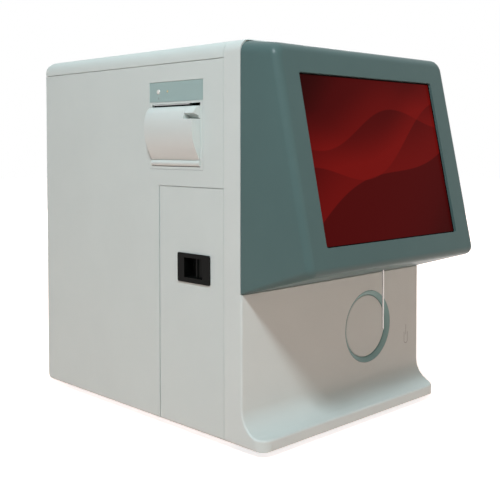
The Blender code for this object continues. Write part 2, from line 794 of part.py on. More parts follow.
def rounded_front(mesh):
    """The front moulding's outer form with its front edge rounded all the way round, foot and sweep too."""
    bm = bmesh.new()
    bm.from_mesh(mesh)
    bmesh.ops.remove_doubles(bm, verts=bm.verts, dist=WELD)
    bmesh.ops.dissolve_limit(bm, angle_limit=FLAT_ANGLE, verts=bm.verts, edges=bm.edges)
    edges = []
    for edge in bm.edges:
        middle = (edge.verts[0].co + edge.verts[1].co) / 2
        ahead_of_seam = middle.y < SEAM_DEPTH - WELD and middle.z > FOOT_FRONT_TOP - WELD
        if ahead_of_seam and edge.calc_face_angle() > CREASE_ANGLE:
            edges.append(edge)
    bmesh.ops.bevel(bm, geom=edges, offset=FRONT_EDGE_RADIUS, segments=3, profile=0.5, affect="EDGES")
    return closed_mesh(bm, "rounded_front")


def housing_hollow():
    """The space inside the front moulding, open to the back and below."""
    wall = HOUSING_WALL
    upper = REBATE_DEPTH + wall
    inner_back = SEAM_DEPTH + OVERRUN
    profile = rounded([
        (inner_back, -OVERRUN, 0.0),
        (inner_back, BODY_HEIGHT - wall, 0.0),
        (upper, BODY_HEIGHT - wall, 0.0),
        (upper, BEZEL_BOTTOM - wall, 0.0),
        (wall, BEZEL_BOTTOM - wall, 0.0),
        (wall, FOOT_TOP - wall, SWEEP_RADIUS + wall),
        (wall - FOOT_REACH, FOOT_FRONT_TOP - wall, 0.0),
        (wall - FOOT_REACH, -OVERRUN, 0.0),
    ])
    half = HALF_WIDTH - wall
    plan = rounded([
        (-half, inner_back + OVERRUN, 0.0),
        (-half, wall - FOOT_REACH, FOOT_PLAN_RADIUS - wall),
        (half, wall - FOOT_REACH, FOOT_PLAN_RADIUS - wall),
        (half, inner_back + OVERRUN, 0.0),
    ])
    front = rounded([
        (-half, -OVERRUN - OVERRUN, 0.0),
        (half, -OVERRUN - OVERRUN, 0.0),
        (half, BODY_HEIGHT - wall, BODY_CORNER_RADIUS - wall),
        (-half, BODY_HEIGHT - wall, BODY_CORNER_RADIUS - wall),
    ])
    return keep(
        prism(profile, "X", -HALF_WIDTH, HALF_WIDTH),
        prism(plan, "Z", -OVERRUN - OVERRUN, BODY_HEIGHT),
        prism(front, "Y", -FOOT_REACH, inner_back + OVERRUN),
    )


def bezel_rebate():
    """The step in the front moulding that the bezel's rim sits in."""
    reach = HALF_WIDTH + OVERRUN
    return block((-reach, -OVERRUN, BEZEL_BOTTOM - GAP), (reach, REBATE_DEPTH, BEZEL_TOP + GAP))


def key_opening():
    """The round hole in the lower panel for the key's ring."""
    return rod(RING_RADIUS + GAP, -OVERRUN, HOUSING_WALL + OVERRUN, (KEY_X, 0, KEY_Z), "Y", FINE_STEPS)


def shaft_opening():
    """The hole for the lift motor's shaft."""
    reach = REBATE_DEPTH + HOUSING_WALL + OVERRUN
    return rod(SHAFT_RADIUS + OVERRUN, -OVERRUN, reach, (PULLEY_X, 0, PULLEY_HIGH), "Y")


def bezel_block(inset, rim):
    """The bezel's outer form, or with an inset its hollow, with a rim at that depth."""
    half_back = HALF_WIDTH - inset
    half_face = FACE_HALF_WIDTH - inset
    deeper = inset / math.cos(FACE_TILT)
    bm = bmesh.new()
    bmesh.ops.create_cube(bm, size=1.0)
    for vert in bm.verts:
        right = math.copysign(1.0, vert.co.x)
        top = vert.co.z > 0
        if vert.co.y > 0:
            height = BEZEL_TOP - inset if top else BEZEL_BOTTOM + inset
            vert.co = (right * half_back, rim, height)
        else:
            height = FACE_TOP - inset if top else LIP_HEIGHT + inset
            vert.co = (right * half_face, face_y(height) + deeper, height)

    def at_rim(point):
        return point.y > rim - WELD

    def upper_depth_edge(first, second):
        return at_rim(first) != at_rim(second) and min(first.z, second.z) > (BEZEL_TOP + BEZEL_BOTTOM) / 2

    def lower_depth_edge(first, second):
        return at_rim(first) != at_rim(second) and max(first.z, second.z) < (BEZEL_TOP + BEZEL_BOTTOM) / 2

    def on_face(point):
        return point.y - face_y(point.z) - deeper < WELD

    def face_edge(first, second):
        return on_face(first) and on_face(second)

    bevelled_edges(bm, upper_depth_edge, BEZEL_CORNER_RADIUS - inset, ARC_STEPS)
    bevelled_edges(bm, lower_depth_edge, BEZEL_UNDER_RADIUS - inset, ARC_STEPS)
    for vert in bm.verts:
        if at_rim(vert.co) and vert.co.z < LIP_HEIGHT:
            corner = Vector((math.copysign(half_back, vert.co.x), rim, BEZEL_BOTTOM + inset))
            vert.co = corner.lerp(vert.co, BEZEL_UNDER_RIM_SHARE)
    bevelled_edges(bm, face_edge, BEZEL_FACE_RADIUS - inset, 4)
    return closed_mesh(bm, "bezel")


def display_bezel():
    """The teal surround that leans over the sample place, open at its back."""
    rim = REBATE_DEPTH - BEZEL_SEAM
    shell = cut(bezel_block(0.0, rim), bezel_block(BEZEL_WALL, rim + OVERRUN))
    half = WINDOW_WIDTH / 2
    window = prism(
        rectangle(-half, 0.0, half, WINDOW_HEIGHT, WINDOW_CORNER_RADIUS, 2),
        "Y",
        -OVERRUN,
        BEZEL_WALL + OVERRUN,
    )
    probe_hole = rod(PROBE_HOLE_RADIUS, BEZEL_BOTTOM, LIP_HEIGHT, (PROBE_X, PROBE_Y, 0))
    shell = cut(shell, behind_face(window), probe_hole)
    part("display_bezel", shell, "teal_moulding", smooth=True)


def display_stack():
    """Touch glass, display module and the bracket that carries them."""
    half = WINDOW_WIDTH / 2
    glass_start = BEZEL_WALL + GAP
    glass = block(
        (-half - GLASS_MARGIN, glass_start, -GLASS_MARGIN),
        (half + GLASS_MARGIN, glass_start + GLASS_THICKNESS, WINDOW_HEIGHT + GLASS_MARGIN),
    )
    part("touch_glass", behind_face(glass), "dark_glass")
    lcd_start = glass_start + GLASS_THICKNESS + GAP
    lcd_end = lcd_start + LCD_THICKNESS
    low = (-half - LCD_MARGIN, lcd_start, -LCD_MARGIN)
    high = (half + LCD_MARGIN, lcd_end, WINDOW_HEIGHT + LCD_MARGIN)
    part("lcd_module", behind_face(block(low, high)), "zinc_sheet")
    sheet_start = lcd_end + GAP
    sheet = block(
        (low[0], sheet_start, low[2]),
        (high[0], sheet_start + BRACKET_SHEET, high[2]),
    )
    in_front = block(
        (low[0] - OVERRUN, -LIP_DEPTH, low[2] - LCD_MARGIN),
        (high[0] + OVERRUN, sheet_start + BRACKET_SHEET / 2, high[2] + LCD_MARGIN),
    )
    posts = []
    for side in (-1, 1):
        for height in (BRACKET_POST_LOW, BRACKET_POST_HIGH):
            x = WINDOW_OFFSET + side * BRACKET_POST_X
            post_low = (x - BRACKET_POST / 2, face_y(height), height - BRACKET_POST / 2)
            post_high = (x + BRACKET_POST / 2, BACK_RIM, height + BRACKET_POST / 2)
            posts.append(block(post_low, post_high))
    posts = cut(merged(*posts), behind_face(in_front))
    part("display_bracket", join(behind_face(sheet), posts), "zinc_sheet")


def top_cover():
    """The bent cover over the top, closed at the rear."""
    bottom = COVER_SEAM_HEIGHT + SEAM
    outer = cover_block(0.0, SIDE_FRONT, bottom)
    hollow = cover_block(PANEL_SHEET, SIDE_FRONT - OVERRUN, bottom - OVERRUN)
    part("top_cover", cut(outer, hollow), "white_sheet", smooth=True)


def cover_block(inset, front, bottom):
    """A box with its top side edges and its top rear edge rounded."""
    half = HALF_WIDTH - inset
    rear = REAR_DEPTH - inset
    top = BODY_HEIGHT - inset
    bm = bmesh.new()
    bmesh.ops.create_cube(bm, size=1.0)
    for vert in bm.verts:
        x = math.copysign(half, vert.co.x)
        y = rear if vert.co.y > 0 else front
        z = top if vert.co.z > 0 else bottom
        vert.co = (x, y, z)

    def rounded_edge(first, second):
        on_top = min(first.z, second.z) > top - WELD
        return on_top and max(first.y, second.y) > front + WELD

    bevelled_edges(bm, rounded_edge, BODY_CORNER_RADIUS - inset, ARC_STEPS)
    return closed_mesh(bm, "cover")


def side_sheet(front, rear, top):
    """The left side's sheet with its bottom edge bent under, between two depths."""
    sheet = PANEL_SHEET
    left = -HALF_WIDTH
    profile = rounded([
        (left, 0.0, BOTTOM_RADIUS),
        (left + BOTTOM_FLANGE, 0.0, 0.0),
        (left + BOTTOM_FLANGE, sheet, 0.0),
        (left + sheet, sheet, BOTTOM_RADIUS - sheet),
        (left + sheet, top, 0.0),
        (left, top, 0.0),
    ])
    return prism(profile, "Y", front, rear)


def panel_blank():
    """A left side sheet with its rear flange and its rounded rear bottom corner."""
    sheet = side_sheet(SIDE_FRONT, REAR_DEPTH, COVER_SEAM_HEIGHT)
    flange_front = REAR_INNER - GAP - PANEL_SHEET
    inner = -PANEL_X - WELD
    flange = block(
        (inner, flange_front, BASE_TOP + REAR_CORNER_RADIUS),
        (inner + BOTTOM_FLANGE, flange_front + PANEL_SHEET, COVER_SEAM_HEIGHT),
    )
    outline = rounded([
        (SIDE_FRONT - OVERRUN, -OVERRUN, 0.0),
        (REAR_DEPTH, -WELD, REAR_CORNER_RADIUS),
        (REAR_DEPTH, BODY_HEIGHT, 0.0),
        (SIDE_FRONT - OVERRUN, BODY_HEIGHT, 0.0),
    ])
    side = prism(outline, "X", -HALF_WIDTH - OVERRUN, 0.0)
    return keep(join(sheet, flange), side)


def left_side_panel():
    """The left side, with the door's opening and the printer's window."""
    reach = HALF_WIDTH + OVERRUN
    door_hole = block(
        (-reach, SIDE_FRONT - OVERRUN, -OVERRUN),
        (-HALF_WIDTH + BOTTOM_FLANGE + OVERRUN, DOOR_REAR + DOOR_GAP, DOOR_TOP + SEAM),
    )
    window = block(
        (-reach, PRINTER_FRONT - GAP, PRINTER_BOTTOM - GAP),
        (-PANEL_X + OVERRUN, PRINTER_REAR + GAP, PRINTER_TOP + GAP),
    )
    part("left_side_panel", cut(panel_blank(), door_hole, window), "white_sheet")


def right_side_panel():
    """The right side, a mirror of the left one with air slots."""
    sheet = panel_blank()
    sheet.transform(Matrix.Scale(-1, 4, (1, 0, 0)))
    sheet.flip_normals()
    slots = []
    for index in range(VENT_COUNT):
        bottom = VENT_BOTTOM + index * VENT_PITCH
        low = (PANEL_X - OVERRUN, VENT_FRONT, bottom)
        high = (HALF_WIDTH + OVERRUN, VENT_FRONT + VENT_LENGTH, bottom + VENT_WIDTH)
        slots.append(block(low, high))
    part("right_side_panel", cut(sheet, merged(*slots)), "white_sheet")


def rear_panel():
    """The flat rear sheet with its cut-outs."""
    half = PANEL_X - GAP
    bend = BOTTOM_RADIUS - PANEL_SHEET - GAP
    outline = rounded([
        (-half, BASE_BOTTOM, bend),
        (half, BASE_BOTTOM, bend),
        (half, COVER_SEAM_HEIGHT, 0.0),
        (-half, COVER_SEAM_HEIGHT, 0.0),
    ])
    sheet = prism(outline, "Y", REAR_INNER, REAR_DEPTH)
    low = REAR_INNER - OVERRUN
    high = REAR_DEPTH + OVERRUN
    fan_hole = rod(FAN_DUCT_RADIUS, low, high, (FAN_X, 0, FAN_Z), "Y", ROUND_STEPS)
    inlet = inlet_body_outline(GAP)
    ports = rectangle(
        PORT_PLATE_X - PORT_PLATE_WIDTH / 2 + INLET_FLANGE,
        PORT_PLATE_Z - PORT_PLATE_HEIGHT / 2 + INLET_FLANGE,
        PORT_PLATE_X + PORT_PLATE_WIDTH / 2 - INLET_FLANGE,
        PORT_PLATE_Z + PORT_PLATE_HEIGHT / 2 - INLET_FLANGE,
    )
    data = rectangle(
        DATA_X - DATA_WIDTH / 2 - GAP,
        DATA_Z - DATA_HEIGHT / 2 - GAP,
        DATA_X + DATA_WIDTH / 2 + GAP,
        DATA_Z + DATA_HEIGHT / 2 + GAP,
    )
    openings = [prism(outline, "Y", low, high) for outline in (inlet, ports, data)]
    part("rear_panel", cut(sheet, fan_hole, *openings), "white_sheet")


def inlet_body_outline(margin):
    """Outline of the power inlet's body, grown by a margin."""
    return rectangle(
        INLET_X - INLET_WIDTH / 2 + INLET_FLANGE - margin,
        INLET_Z - INLET_HEIGHT / 2 + INLET_FLANGE - margin,
        INLET_X + INLET_WIDTH / 2 - INLET_FLANGE + margin,
        INLET_Z + INLET_HEIGHT / 2 - INLET_FLANGE + margin,
    )


def base_plate():
    """The steel base plate."""
    half = HALF_WIDTH - BASE_MARGIN
    low = (-half, SIDE_FRONT, BASE_BOTTOM)
    part("base_plate", block(low, (half, REAR_INNER - GAP, BASE_TOP)), "zinc_sheet")


def rubber_feet():
    """The four rubber feet under the base plate."""
    top = BASE_BOTTOM - GAP
    bevel_radius = RUBBER_FOOT_RADIUS - RUBBER_FOOT_BEVEL
    profile = [
        (0.0, top),
        (RUBBER_FOOT_RADIUS, top),
        (RUBBER_FOOT_RADIUS, RUBBER_FOOT_BEVEL - FOOT_CLEARANCE),
        (bevel_radius, -FOOT_CLEARANCE),
        (0.0, -FOOT_CLEARANCE),
    ]
    for side, x in (("left", -RUBBER_FOOT_X), ("right", RUBBER_FOOT_X)):
        for end, y in (("front", RUBBER_FOOT_FRONT), ("rear", RUBBER_FOOT_REAR)):
            foot = turned(profile, (x, y, 0), "Z", SMALL_STEPS)
            part(f"foot_{end}_{side}", foot, "rubber", (x, y, 0), smooth=True)


def chassis_plate():
    """The upright sheet that carries the fluid parts on its left and the board on its right."""
    low = (CHASSIS_LEFT, CHASSIS_FRONT, BASE_TOP + GAP)
    rear = REAR_INNER - GAP
    plate = block(low, (CHASSIS_X, rear, COVER_SEAM_HEIGHT))
    flange = block(
        (CHASSIS_X - WELD, CHASSIS_FRONT, BASE_TOP + GAP),
        (CHASSIS_X + CHASSIS_FLANGE, rear, BASE_TOP + GAP + CHASSIS_SHEET),
    )
    part("chassis_plate", join(plate, flange), "zinc_sheet")


def door_pivot():
    """Where the door's vertical axis passes, as (x, y)."""
    return (-PANEL_X + DOOR_PIVOT_INSET, DOOR_REAR - DOOR_PIVOT_SETBACK)


def side_door():
    """The service door with its hinge lugs and the latch's cut-out."""
    x, y = door_pivot()
    sheet = side_sheet(SIDE_FRONT, DOOR_REAR, DOOR_TOP)
    lugs = []
    bores = []
    for height in DOOR_HINGE_HEIGHTS:
        top = height + HINGE_LUG_HEIGHT
        low = (-PANEL_X - WELD, y - HINGE_LUG_HALF, height)
        lugs.append(block(low, (x + HINGE_LUG_HALF, y + HINGE_LUG_HALF, top)))
        bore_radius = HINGE_PIN_RADIUS + HINGE_PIN_GAP
        bores.append(rod(bore_radius, height - OVERRUN, top + OVERRUN, (x, y, 0)))
    latch_hole = block(
        (-HALF_WIDTH - OVERRUN, LATCH_FRONT + LATCH_FLANGE - GAP, LATCH_BOTTOM + LATCH_FLANGE - GAP),
        (-PANEL_X + OVERRUN, LATCH_REAR - LATCH_FLANGE + GAP, LATCH_TOP - LATCH_FLANGE + GAP),
    )
    flange_front = block(
        (-HALF_WIDTH + BOTTOM_RADIUS, SIDE_FRONT - OVERRUN, -OVERRUN),
        (-HALF_WIDTH + BOTTOM_FLANGE + OVERRUN, SIDE_FRONT + DOOR_FLANGE_START, PANEL_SHEET + OVERRUN),
    )
    door = cut(join(sheet, merged(*lugs)), merged(*bores), latch_hole, flange_front)
    joint_empty("door_axis", (x, y, 0))
    part("side_door", door, "white_sheet", (x, y, 0), "door_axis")


def door_hinge_rail():
    """The bent rail behind the side panel's edge, with two cranked arms that carry the door's pins."""
    x, y = door_pivot()
    swing = math.hypot(HALF_WIDTH - PANEL_X + DOOR_PIVOT_INSET, DOOR_PIVOT_SETBACK)
    leaf_front = DOOR_REAR + DOOR_GAP + SEAM
    leaf_side = -PANEL_X + GAP
    arm_near = x + swing + GAP
    arm_far = arm_near + HINGE_ARM_THICKNESS
    bottom = DOOR_HINGE_HEIGHTS[0] - HINGE_LEAF_HEIGHT / 2
    top = DOOR_HINGE_HEIGHTS[-1] + HINGE_LEAF_HEIGHT / 2
    leaf = block(
        (leaf_side, leaf_front, bottom),
        (leaf_side + HINGE_ARM_THICKNESS, leaf_front + HINGE_LEAF_LENGTH, top),
    )
    web = block((leaf_side, leaf_front, bottom), (arm_far, leaf_front + HINGE_ARM_THICKNESS, top))
    rail = join(leaf, web)
    for height in DOOR_HINGE_HEIGHTS:
        arm_top = height - GAP
        arm_bottom = arm_top - HINGE_ARM_THICKNESS
        arm = block((arm_near, y - HINGE_LUG_HALF, arm_bottom), (arm_far, leaf_front + WELD, arm_top))
        tongue = block(
            (x - HINGE_PIN_RADIUS, y - HINGE_LUG_HALF, arm_bottom),
            (arm_near + WELD, y + HINGE_TONGUE_BACK, arm_top),
        )
        pin = rod(HINGE_PIN_RADIUS, arm_bottom + GAP, height + HINGE_LUG_HEIGHT, (x, y, 0))
        rail = join(rail, arm, tongue, pin)
    part("door_hinge_rail", rail, "steel")


def latch_frame():
    """The black flush latch housing with its finger recess."""
    left = -HALF_WIDTH
    flange = prism(
        rectangle(LATCH_FRONT, LATCH_BOTTOM, LATCH_REAR, LATCH_TOP, LATCH_CORNER_RADIUS, 2),
        "X",
        left - LATCH_PROUD,
        left - GAP,
    )
    body = block(
        (left - LATCH_PROUD / 2, LATCH_FRONT + LATCH_FLANGE, LATCH_BOTTOM + LATCH_FLANGE),
        (left + LATCH_DEPTH, LATCH_REAR - LATCH_FLANGE, LATCH_TOP - LATCH_FLANGE),
    )
    recess = block(
        (left - LATCH_PROUD - OVERRUN, RECESS_FRONT, RECESS_BOTTOM),
        (left + LATCH_DEPTH - LATCH_WALL, RECESS_REAR, RECESS_TOP),
    )
    middle = (LATCH_BOTTOM + LATCH_TOP) / 2
    slot_half = BOLT_WIDTH / 2 + SLIDE_GAP
    slot_back = left + BOLT_BACK - SLIDE_GAP
    slot_end = left + BOLT_BACK + BOLT_THICKNESS + SLIDE_GAP
    slot = block(
        (slot_back, LATCH_FRONT, middle - slot_half),
        (slot_end, RECESS_FRONT + OVERRUN, middle + slot_half),
    )
    frame = cut(join(flange, body), recess, slot)
    part("latch_frame", frame, "black_plastic", (*door_pivot(), 0), "door_axis")


def latch_slider():
    """The thumb piece in the recess and the bolt that it draws back."""
    left = -HALF_WIDTH
    middle = (LATCH_BOTTOM + LATCH_TOP) / 2
    front = RECESS_FRONT + SLIDE_GAP
    thumb = block(
        (left + SLIDER_INSET, front, RECESS_BOTTOM + SLIDE_GAP),
        (left + LATCH_DEPTH - LATCH_WALL - SLIDE_GAP, front + SLIDER_LENGTH, RECESS_TOP - SLIDE_GAP),
    )
    bolt = block(
        (left + BOLT_BACK, SIDE_FRONT, middle - BOLT_WIDTH / 2),
        (left + BOLT_BACK + BOLT_THICKNESS, front + SLIDER_LENGTH / 2, middle + BOLT_WIDTH / 2),
    )
    grip = block(
        (left + SLIDER_INSET - GRIP_HEIGHT, front + SLIDER_LENGTH - GRIP_WIDTH, RECESS_BOTTOM + SLIDE_GAP),
        (left + SLIDER_INSET + WELD, front + SLIDER_LENGTH, RECESS_TOP - SLIDE_GAP),
    )
    place = (left + SLIDER_INSET, front, middle)
    joint_empty("latch_axis", place, "door_axis")
    part("latch_slider", join(thumb, bolt, grip), "black_plastic", place, "latch_axis")


def printer_frame():
    """The face plate of the printer, with the cover's window and the strip's step."""
    left = -HALF_WIDTH
    plate = block((left, PRINTER_FRONT, PRINTER_BOTTOM), (left + FRAME_THICKNESS, PRINTER_REAR, PRINTER_TOP))
    window = block(
        (left - OVERRUN, COVER_FRONT - SLIDE_GAP, COVER_PIVOT_HEIGHT - COVER_KNUCKLE_RADIUS - SLIDE_GAP),
        (left + FRAME_THICKNESS + OVERRUN, COVER_REAR + SLIDE_GAP, COVER_TOP + SLOT_HEIGHT),
    )
    step = block(
        (left - OVERRUN, PRINTER_FRONT - OVERRUN, STRIP_BOTTOM - GAP),
        (left + STRIP_THICKNESS + GAP, PRINTER_REAR + OVERRUN, PRINTER_TOP + OVERRUN),
    )
    button_hole = status_hole(BUTTON_RADIUS, BUTTON_DEPTH_PLACE, BUTTON_HEIGHT_PLACE)
    led_hole = status_hole(LED_RADIUS, LED_DEPTH_PLACE, BUTTON_HEIGHT_PLACE)
    part("printer_frame", cut(plate, window, step, button_hole, led_hole), "white_moulding")


def status_hole(radius, y, z):
    """A clearance hole across the strip and the frame."""
    low = -HALF_WIDTH - OVERRUN
    return rod(radius + SLIDE_GAP, low, FRAME_THICKNESS + OVERRUN - HALF_WIDTH, (0, y, z), "X")


def status_strip():
    """The grey-green strip over the printer."""
    left = -HALF_WIDTH
    strip = block((left, PRINTER_FRONT, STRIP_BOTTOM), (left + STRIP_THICKNESS, PRINTER_REAR, PRINTER_TOP))
    button_hole = status_hole(BUTTON_RADIUS, BUTTON_DEPTH_PLACE, BUTTON_HEIGHT_PLACE)
    led_hole = status_hole(LED_RADIUS, LED_DEPTH_PLACE, BUTTON_HEIGHT_PLACE)
    part("status_strip", cut(strip, button_hole, led_hole), "teal_strip")


def status_board():
    """The small board behind the strip, its lamp and the push button before it."""
    left = -HALF_WIDTH
    frame_back = left + FRAME_THICKNESS
    board_face = left + STATUS_BOARD_SETBACK
    board = block(
        (board_face, LED_DEPTH_PLACE - STATUS_BOARD_MARGIN, STRIP_BOTTOM + GAP),
        (board_face + STATUS_BOARD_THICKNESS, BUTTON_DEPTH_PLACE + STATUS_BOARD_MARGIN, PRINTER_TOP),
    )
    posts = []
    for y in (LED_DEPTH_PLACE - STATUS_BOARD_MARGIN / 2, BUTTON_DEPTH_PLACE + STATUS_BOARD_MARGIN / 2):
        low_z = STRIP_BOTTOM + GAP
        corner = (board_face + GAP, y + STATUS_BOSS_RADIUS / 2, low_z + STATUS_BOSS_RADIUS)
        posts.append(block((frame_back + GAP, y - STATUS_BOSS_RADIUS / 2, low_z), corner))
    part("status_board", join(board, merged(*posts)), "board_green")
    lamp = [
        (0.0, left - LED_PROUD),
        (LED_RADIUS * LED_TIP_SHARE, left - LED_PROUD),
        (LED_RADIUS, left),
        (LED_RADIUS, board_face - GAP),
        (0.0, board_face - GAP),
    ]
    lamp_place = (0, LED_DEPTH_PLACE, BUTTON_HEIGHT_PLACE)
    part("status_led", turned(lamp, lamp_place, "X", SMALL_STEPS), "amber_lens", smooth=True)
    flange = frame_back + GAP
    button = [
        (0.0, left - BUTTON_PROUD),
        (BUTTON_RADIUS - BUTTON_PROUD / 2, left - BUTTON_PROUD),
        (BUTTON_RADIUS, left - BUTTON_PROUD / 2),
        (BUTTON_RADIUS, flange),
        (BUTTON_FLANGE_RADIUS, flange),
        (BUTTON_FLANGE_RADIUS, flange + BUTTON_FLANGE),
        (0.0, flange + BUTTON_FLANGE),
    ]
    place = (left, BUTTON_DEPTH_PLACE, BUTTON_HEIGHT_PLACE)
    joint_empty("button_axis", place)
    mesh = turned(button, (0, BUTTON_DEPTH_PLACE, BUTTON_HEIGHT_PLACE), "X", SMALL_STEPS)
    part("status_button", mesh, "white_cap", place, "button_axis", smooth=True)


def printer_bay():
    """The paper well behind the printer's face, with two hubs for the roll."""
    back = -HALF_WIDTH + FRAME_THICKNESS + GAP
    low = (back, PRINTER_FRONT + BAY_WALL, PRINTER_BOTTOM + BAY_WALL)
    high = (back + BAY_DEPTH, PRINTER_REAR - BAY_WALL, STRIP_BOTTOM - GAP)
    inner_low = (back - OVERRUN, low[1] + BAY_WALL, low[2] + BAY_WALL)
    inner_high = (high[0] - BAY_WALL, high[1] - BAY_WALL, high[2] - BAY_WALL)
    well = cut(block(low, high), block(inner_low, inner_high))
    x = -HALF_WIDTH + ROLL_DEPTH
    middle = roll_middle()
    reach = PAPER_WIDTH / 2 - HUB_ENGAGEMENT
    centre = (x, 0, ROLL_HEIGHT)
    front_hub = rod(HUB_RADIUS, low[1] + WELD, middle - reach, centre, "Y")
    rear_hub = rod(HUB_RADIUS, middle + reach, high[1] - WELD, centre, "Y")
    part("printer_bay", join(well, front_hub, rear_hub), "black_plastic")


def roll_middle():
    """Depth of the middle of the paper's width."""
    return (COVER_FRONT + LEVER_WIDTH + SLIDE_GAP + COVER_REAR) / 2


def paper_roll():
    """The roll of thermal paper on its core."""
    half = PAPER_WIDTH / 2
    bore = HUB_RADIUS + SLIDE_GAP
    profile = [(ROLL_RADIUS, half), (ROLL_RADIUS, -half), (bore, -half), (bore, half)]
    place = (-HALF_WIDTH + ROLL_DEPTH, roll_middle(), ROLL_HEIGHT)
    joint_empty("roll_axis", place)
    part("paper_roll", turned(profile, place, "Y"), "paper", place, "roll_axis", smooth=True)


def print_mechanism():
    """The thermal head under the bay's roof and the tear bar before it."""
    left = -HALF_WIDTH
    face = left + PLATEN_DEPTH + PLATEN_RADIUS + GAP
    roof = STRIP_BOTTOM - GAP - BAY_WALL - GAP
    half = PAPER_WIDTH / 2
    middle = roll_middle()
    head = block(
        (face, middle - half, PLATEN_HEIGHT - HEAD_HEIGHT / 2),
        (face + HEAD_THICKNESS, middle + half, roof),
    )
    part("thermal_head", head, "black_plastic")
    bar_top = COVER_TOP + SLOT_HEIGHT - GAP
    teeth = []
    count = TEAR_TEETH
    pitch = PAPER_WIDTH / count
    tip = left - TEAR_BAR_PROUD
    for index in range(count):
        start = middle - half + index * pitch
        teeth.append((tip + TEAR_TOOTH, start))
        teeth.append((tip, start + pitch / 2))
    back = face - GAP
    outline = teeth + [(tip + TEAR_TOOTH, middle + half), (back, middle + half), (back, middle - half)]
    part("tear_bar", prism(outline, "Z", bar_top - TEAR_BAR_THICKNESS, bar_top), "steel")


COVER_SECTION_SHARES = (
    (0.15, 0.09),
    (0.55, 0.24),
    (0.87, 0.40),
    (1.00, 0.58),
    (0.95, 0.75),
    (0.78, 0.88),
    (0.52, 0.96),
    (0.18, 1.00),
)


def cover_section(inset):
    """The printer cover's section as (x, z), shrunk by a wall where it is the inside."""
    left = -HALF_WIDTH
    bottom = COVER_PIVOT_HEIGHT
    height = COVER_TOP - bottom
    points = []
    for out_share, up_share in COVER_SECTION_SHARES:
        x = left - COVER_BULGE * out_share + inset
        z = bottom + height * up_share
        z = z - inset * up_share + inset * (1 - up_share)
        points.append((x, z))
    back = left + COVER_BACK + (OVERRUN if inset else 0.0)
    foot = bottom + inset
    return points + [(back, points[-1][1]), (back, foot)]


def printer_cover():
    """The bulging door of the printer, hinged along its foot, hollow behind."""
    wall = COVER_WALL
    notch_rear = COVER_FRONT + LEVER_WIDTH + SLIDE_GAP
    notch_bottom = LEVER_BOTTOM - SLIDE_GAP
    outer = prism(cover_section(0.0), "Y", COVER_FRONT, COVER_REAR)
    corner = block(
        (-HALF_WIDTH - COVER_BULGE, COVER_FRONT, notch_bottom - wall),
        (0.0, notch_rear + wall, COVER_TOP + OVERRUN),
    )
    hollow = cut(prism(cover_section(wall), "Y", COVER_FRONT + wall, COVER_REAR - wall), corner)
    notch = block(
        (-HALF_WIDTH - COVER_BULGE - OVERRUN, COVER_FRONT - OVERRUN, notch_bottom),
        (-HALF_WIDTH + COVER_BACK + OVERRUN, notch_rear, COVER_TOP + OVERRUN),
    )
    x, z = cover_pivot()
    knuckle = rod(COVER_KNUCKLE_RADIUS, COVER_FRONT, COVER_REAR, (x, 0, z), "Y", SMALL_STEPS)
    pin_line = rod(
        PLATEN_PIN_RADIUS + SLIDE_GAP,
        notch_rear - OVERRUN,
        COVER_REAR + OVERRUN,
        (-HALF_WIDTH + PLATEN_DEPTH, 0, PLATEN_HEIGHT),
        "Y",
    )
    shell = join(outer, knuckle)
    for tool in (notch, hollow, pin_line):
        shell = cut(shell, tool)
    joint_empty("cover_axis", (x, roll_middle(), z))
    part("printer_cover", shell, "white_moulding", (x, roll_middle(), z), "cover_axis", smooth=True)


def cover_pivot():
    """Where the printer cover's axis passes, as (x, z)."""
    return (-HALF_WIDTH + COVER_PIVOT_INSET, COVER_PIVOT_HEIGHT)


def platen_roller():
    """The rubber roller in the cover, with its pins."""
    first = COVER_FRONT + LEVER_WIDTH + SLIDE_GAP + COVER_WALL + SLIDE_GAP
    last = COVER_REAR - COVER_WALL - SLIDE_GAP
    profile = [
        (0.0, last + PLATEN_PIN_LENGTH),
        (PLATEN_PIN_RADIUS, last + PLATEN_PIN_LENGTH),
        (PLATEN_PIN_RADIUS, last),
        (PLATEN_RADIUS, last),
        (PLATEN_RADIUS, first),
        (PLATEN_PIN_RADIUS, first),
        (PLATEN_PIN_RADIUS, first - PLATEN_PIN_LENGTH),
        (0.0, first - PLATEN_PIN_LENGTH),
    ]
    x = -HALF_WIDTH + PLATEN_DEPTH
    place = (x, roll_middle(), PLATEN_HEIGHT)
    joint_empty("platen_axis", place, "cover_axis")
    mesh = turned(profile, (x, 0, PLATEN_HEIGHT), "Y", SMALL_STEPS)
    part("platen_roller", mesh, "rubber", place, "platen_axis", smooth=True)


def printer_lever():
    """The small release lever that fills the cover's upper front corner."""
    x = -HALF_WIDTH + LEVER_KNUCKLE_INSET
    z = LEVER_BOTTOM + LEVER_KNUCKLE_RADIUS
    solid = prism(cover_section(0.0), "Y", COVER_FRONT, COVER_FRONT + LEVER_WIDTH)
    reach = HALF_WIDTH + COVER_BULGE + OVERRUN
    rise = reach * math.tan(LEVER_SWING + LEVER_RELIEF)
    under = prism(
        [(x, z), (x - reach, z + rise), (x - reach, 0.0), (0.0, 0.0), (0.0, z)],
        "Y",
        COVER_FRONT - OVERRUN,
        COVER_FRONT + LEVER_WIDTH + OVERRUN,
    )
    back = block(
        (x + LEVER_KNUCKLE_RADIUS, COVER_FRONT - OVERRUN, 0.0),
        (0.0, COVER_FRONT + LEVER_WIDTH + OVERRUN, BODY_HEIGHT),
    )
    knuckle = rod(LEVER_KNUCKLE_RADIUS, COVER_FRONT, COVER_FRONT + LEVER_WIDTH, (x, 0, z), "Y")
    lever = join(cut(solid, under, back), knuckle)
    place = (x, COVER_FRONT + LEVER_WIDTH / 2, z)
    joint_empty("lever_axis", place)
    part("printer_lever", lever, "white_moulding", place, "lever_axis", smooth=True)


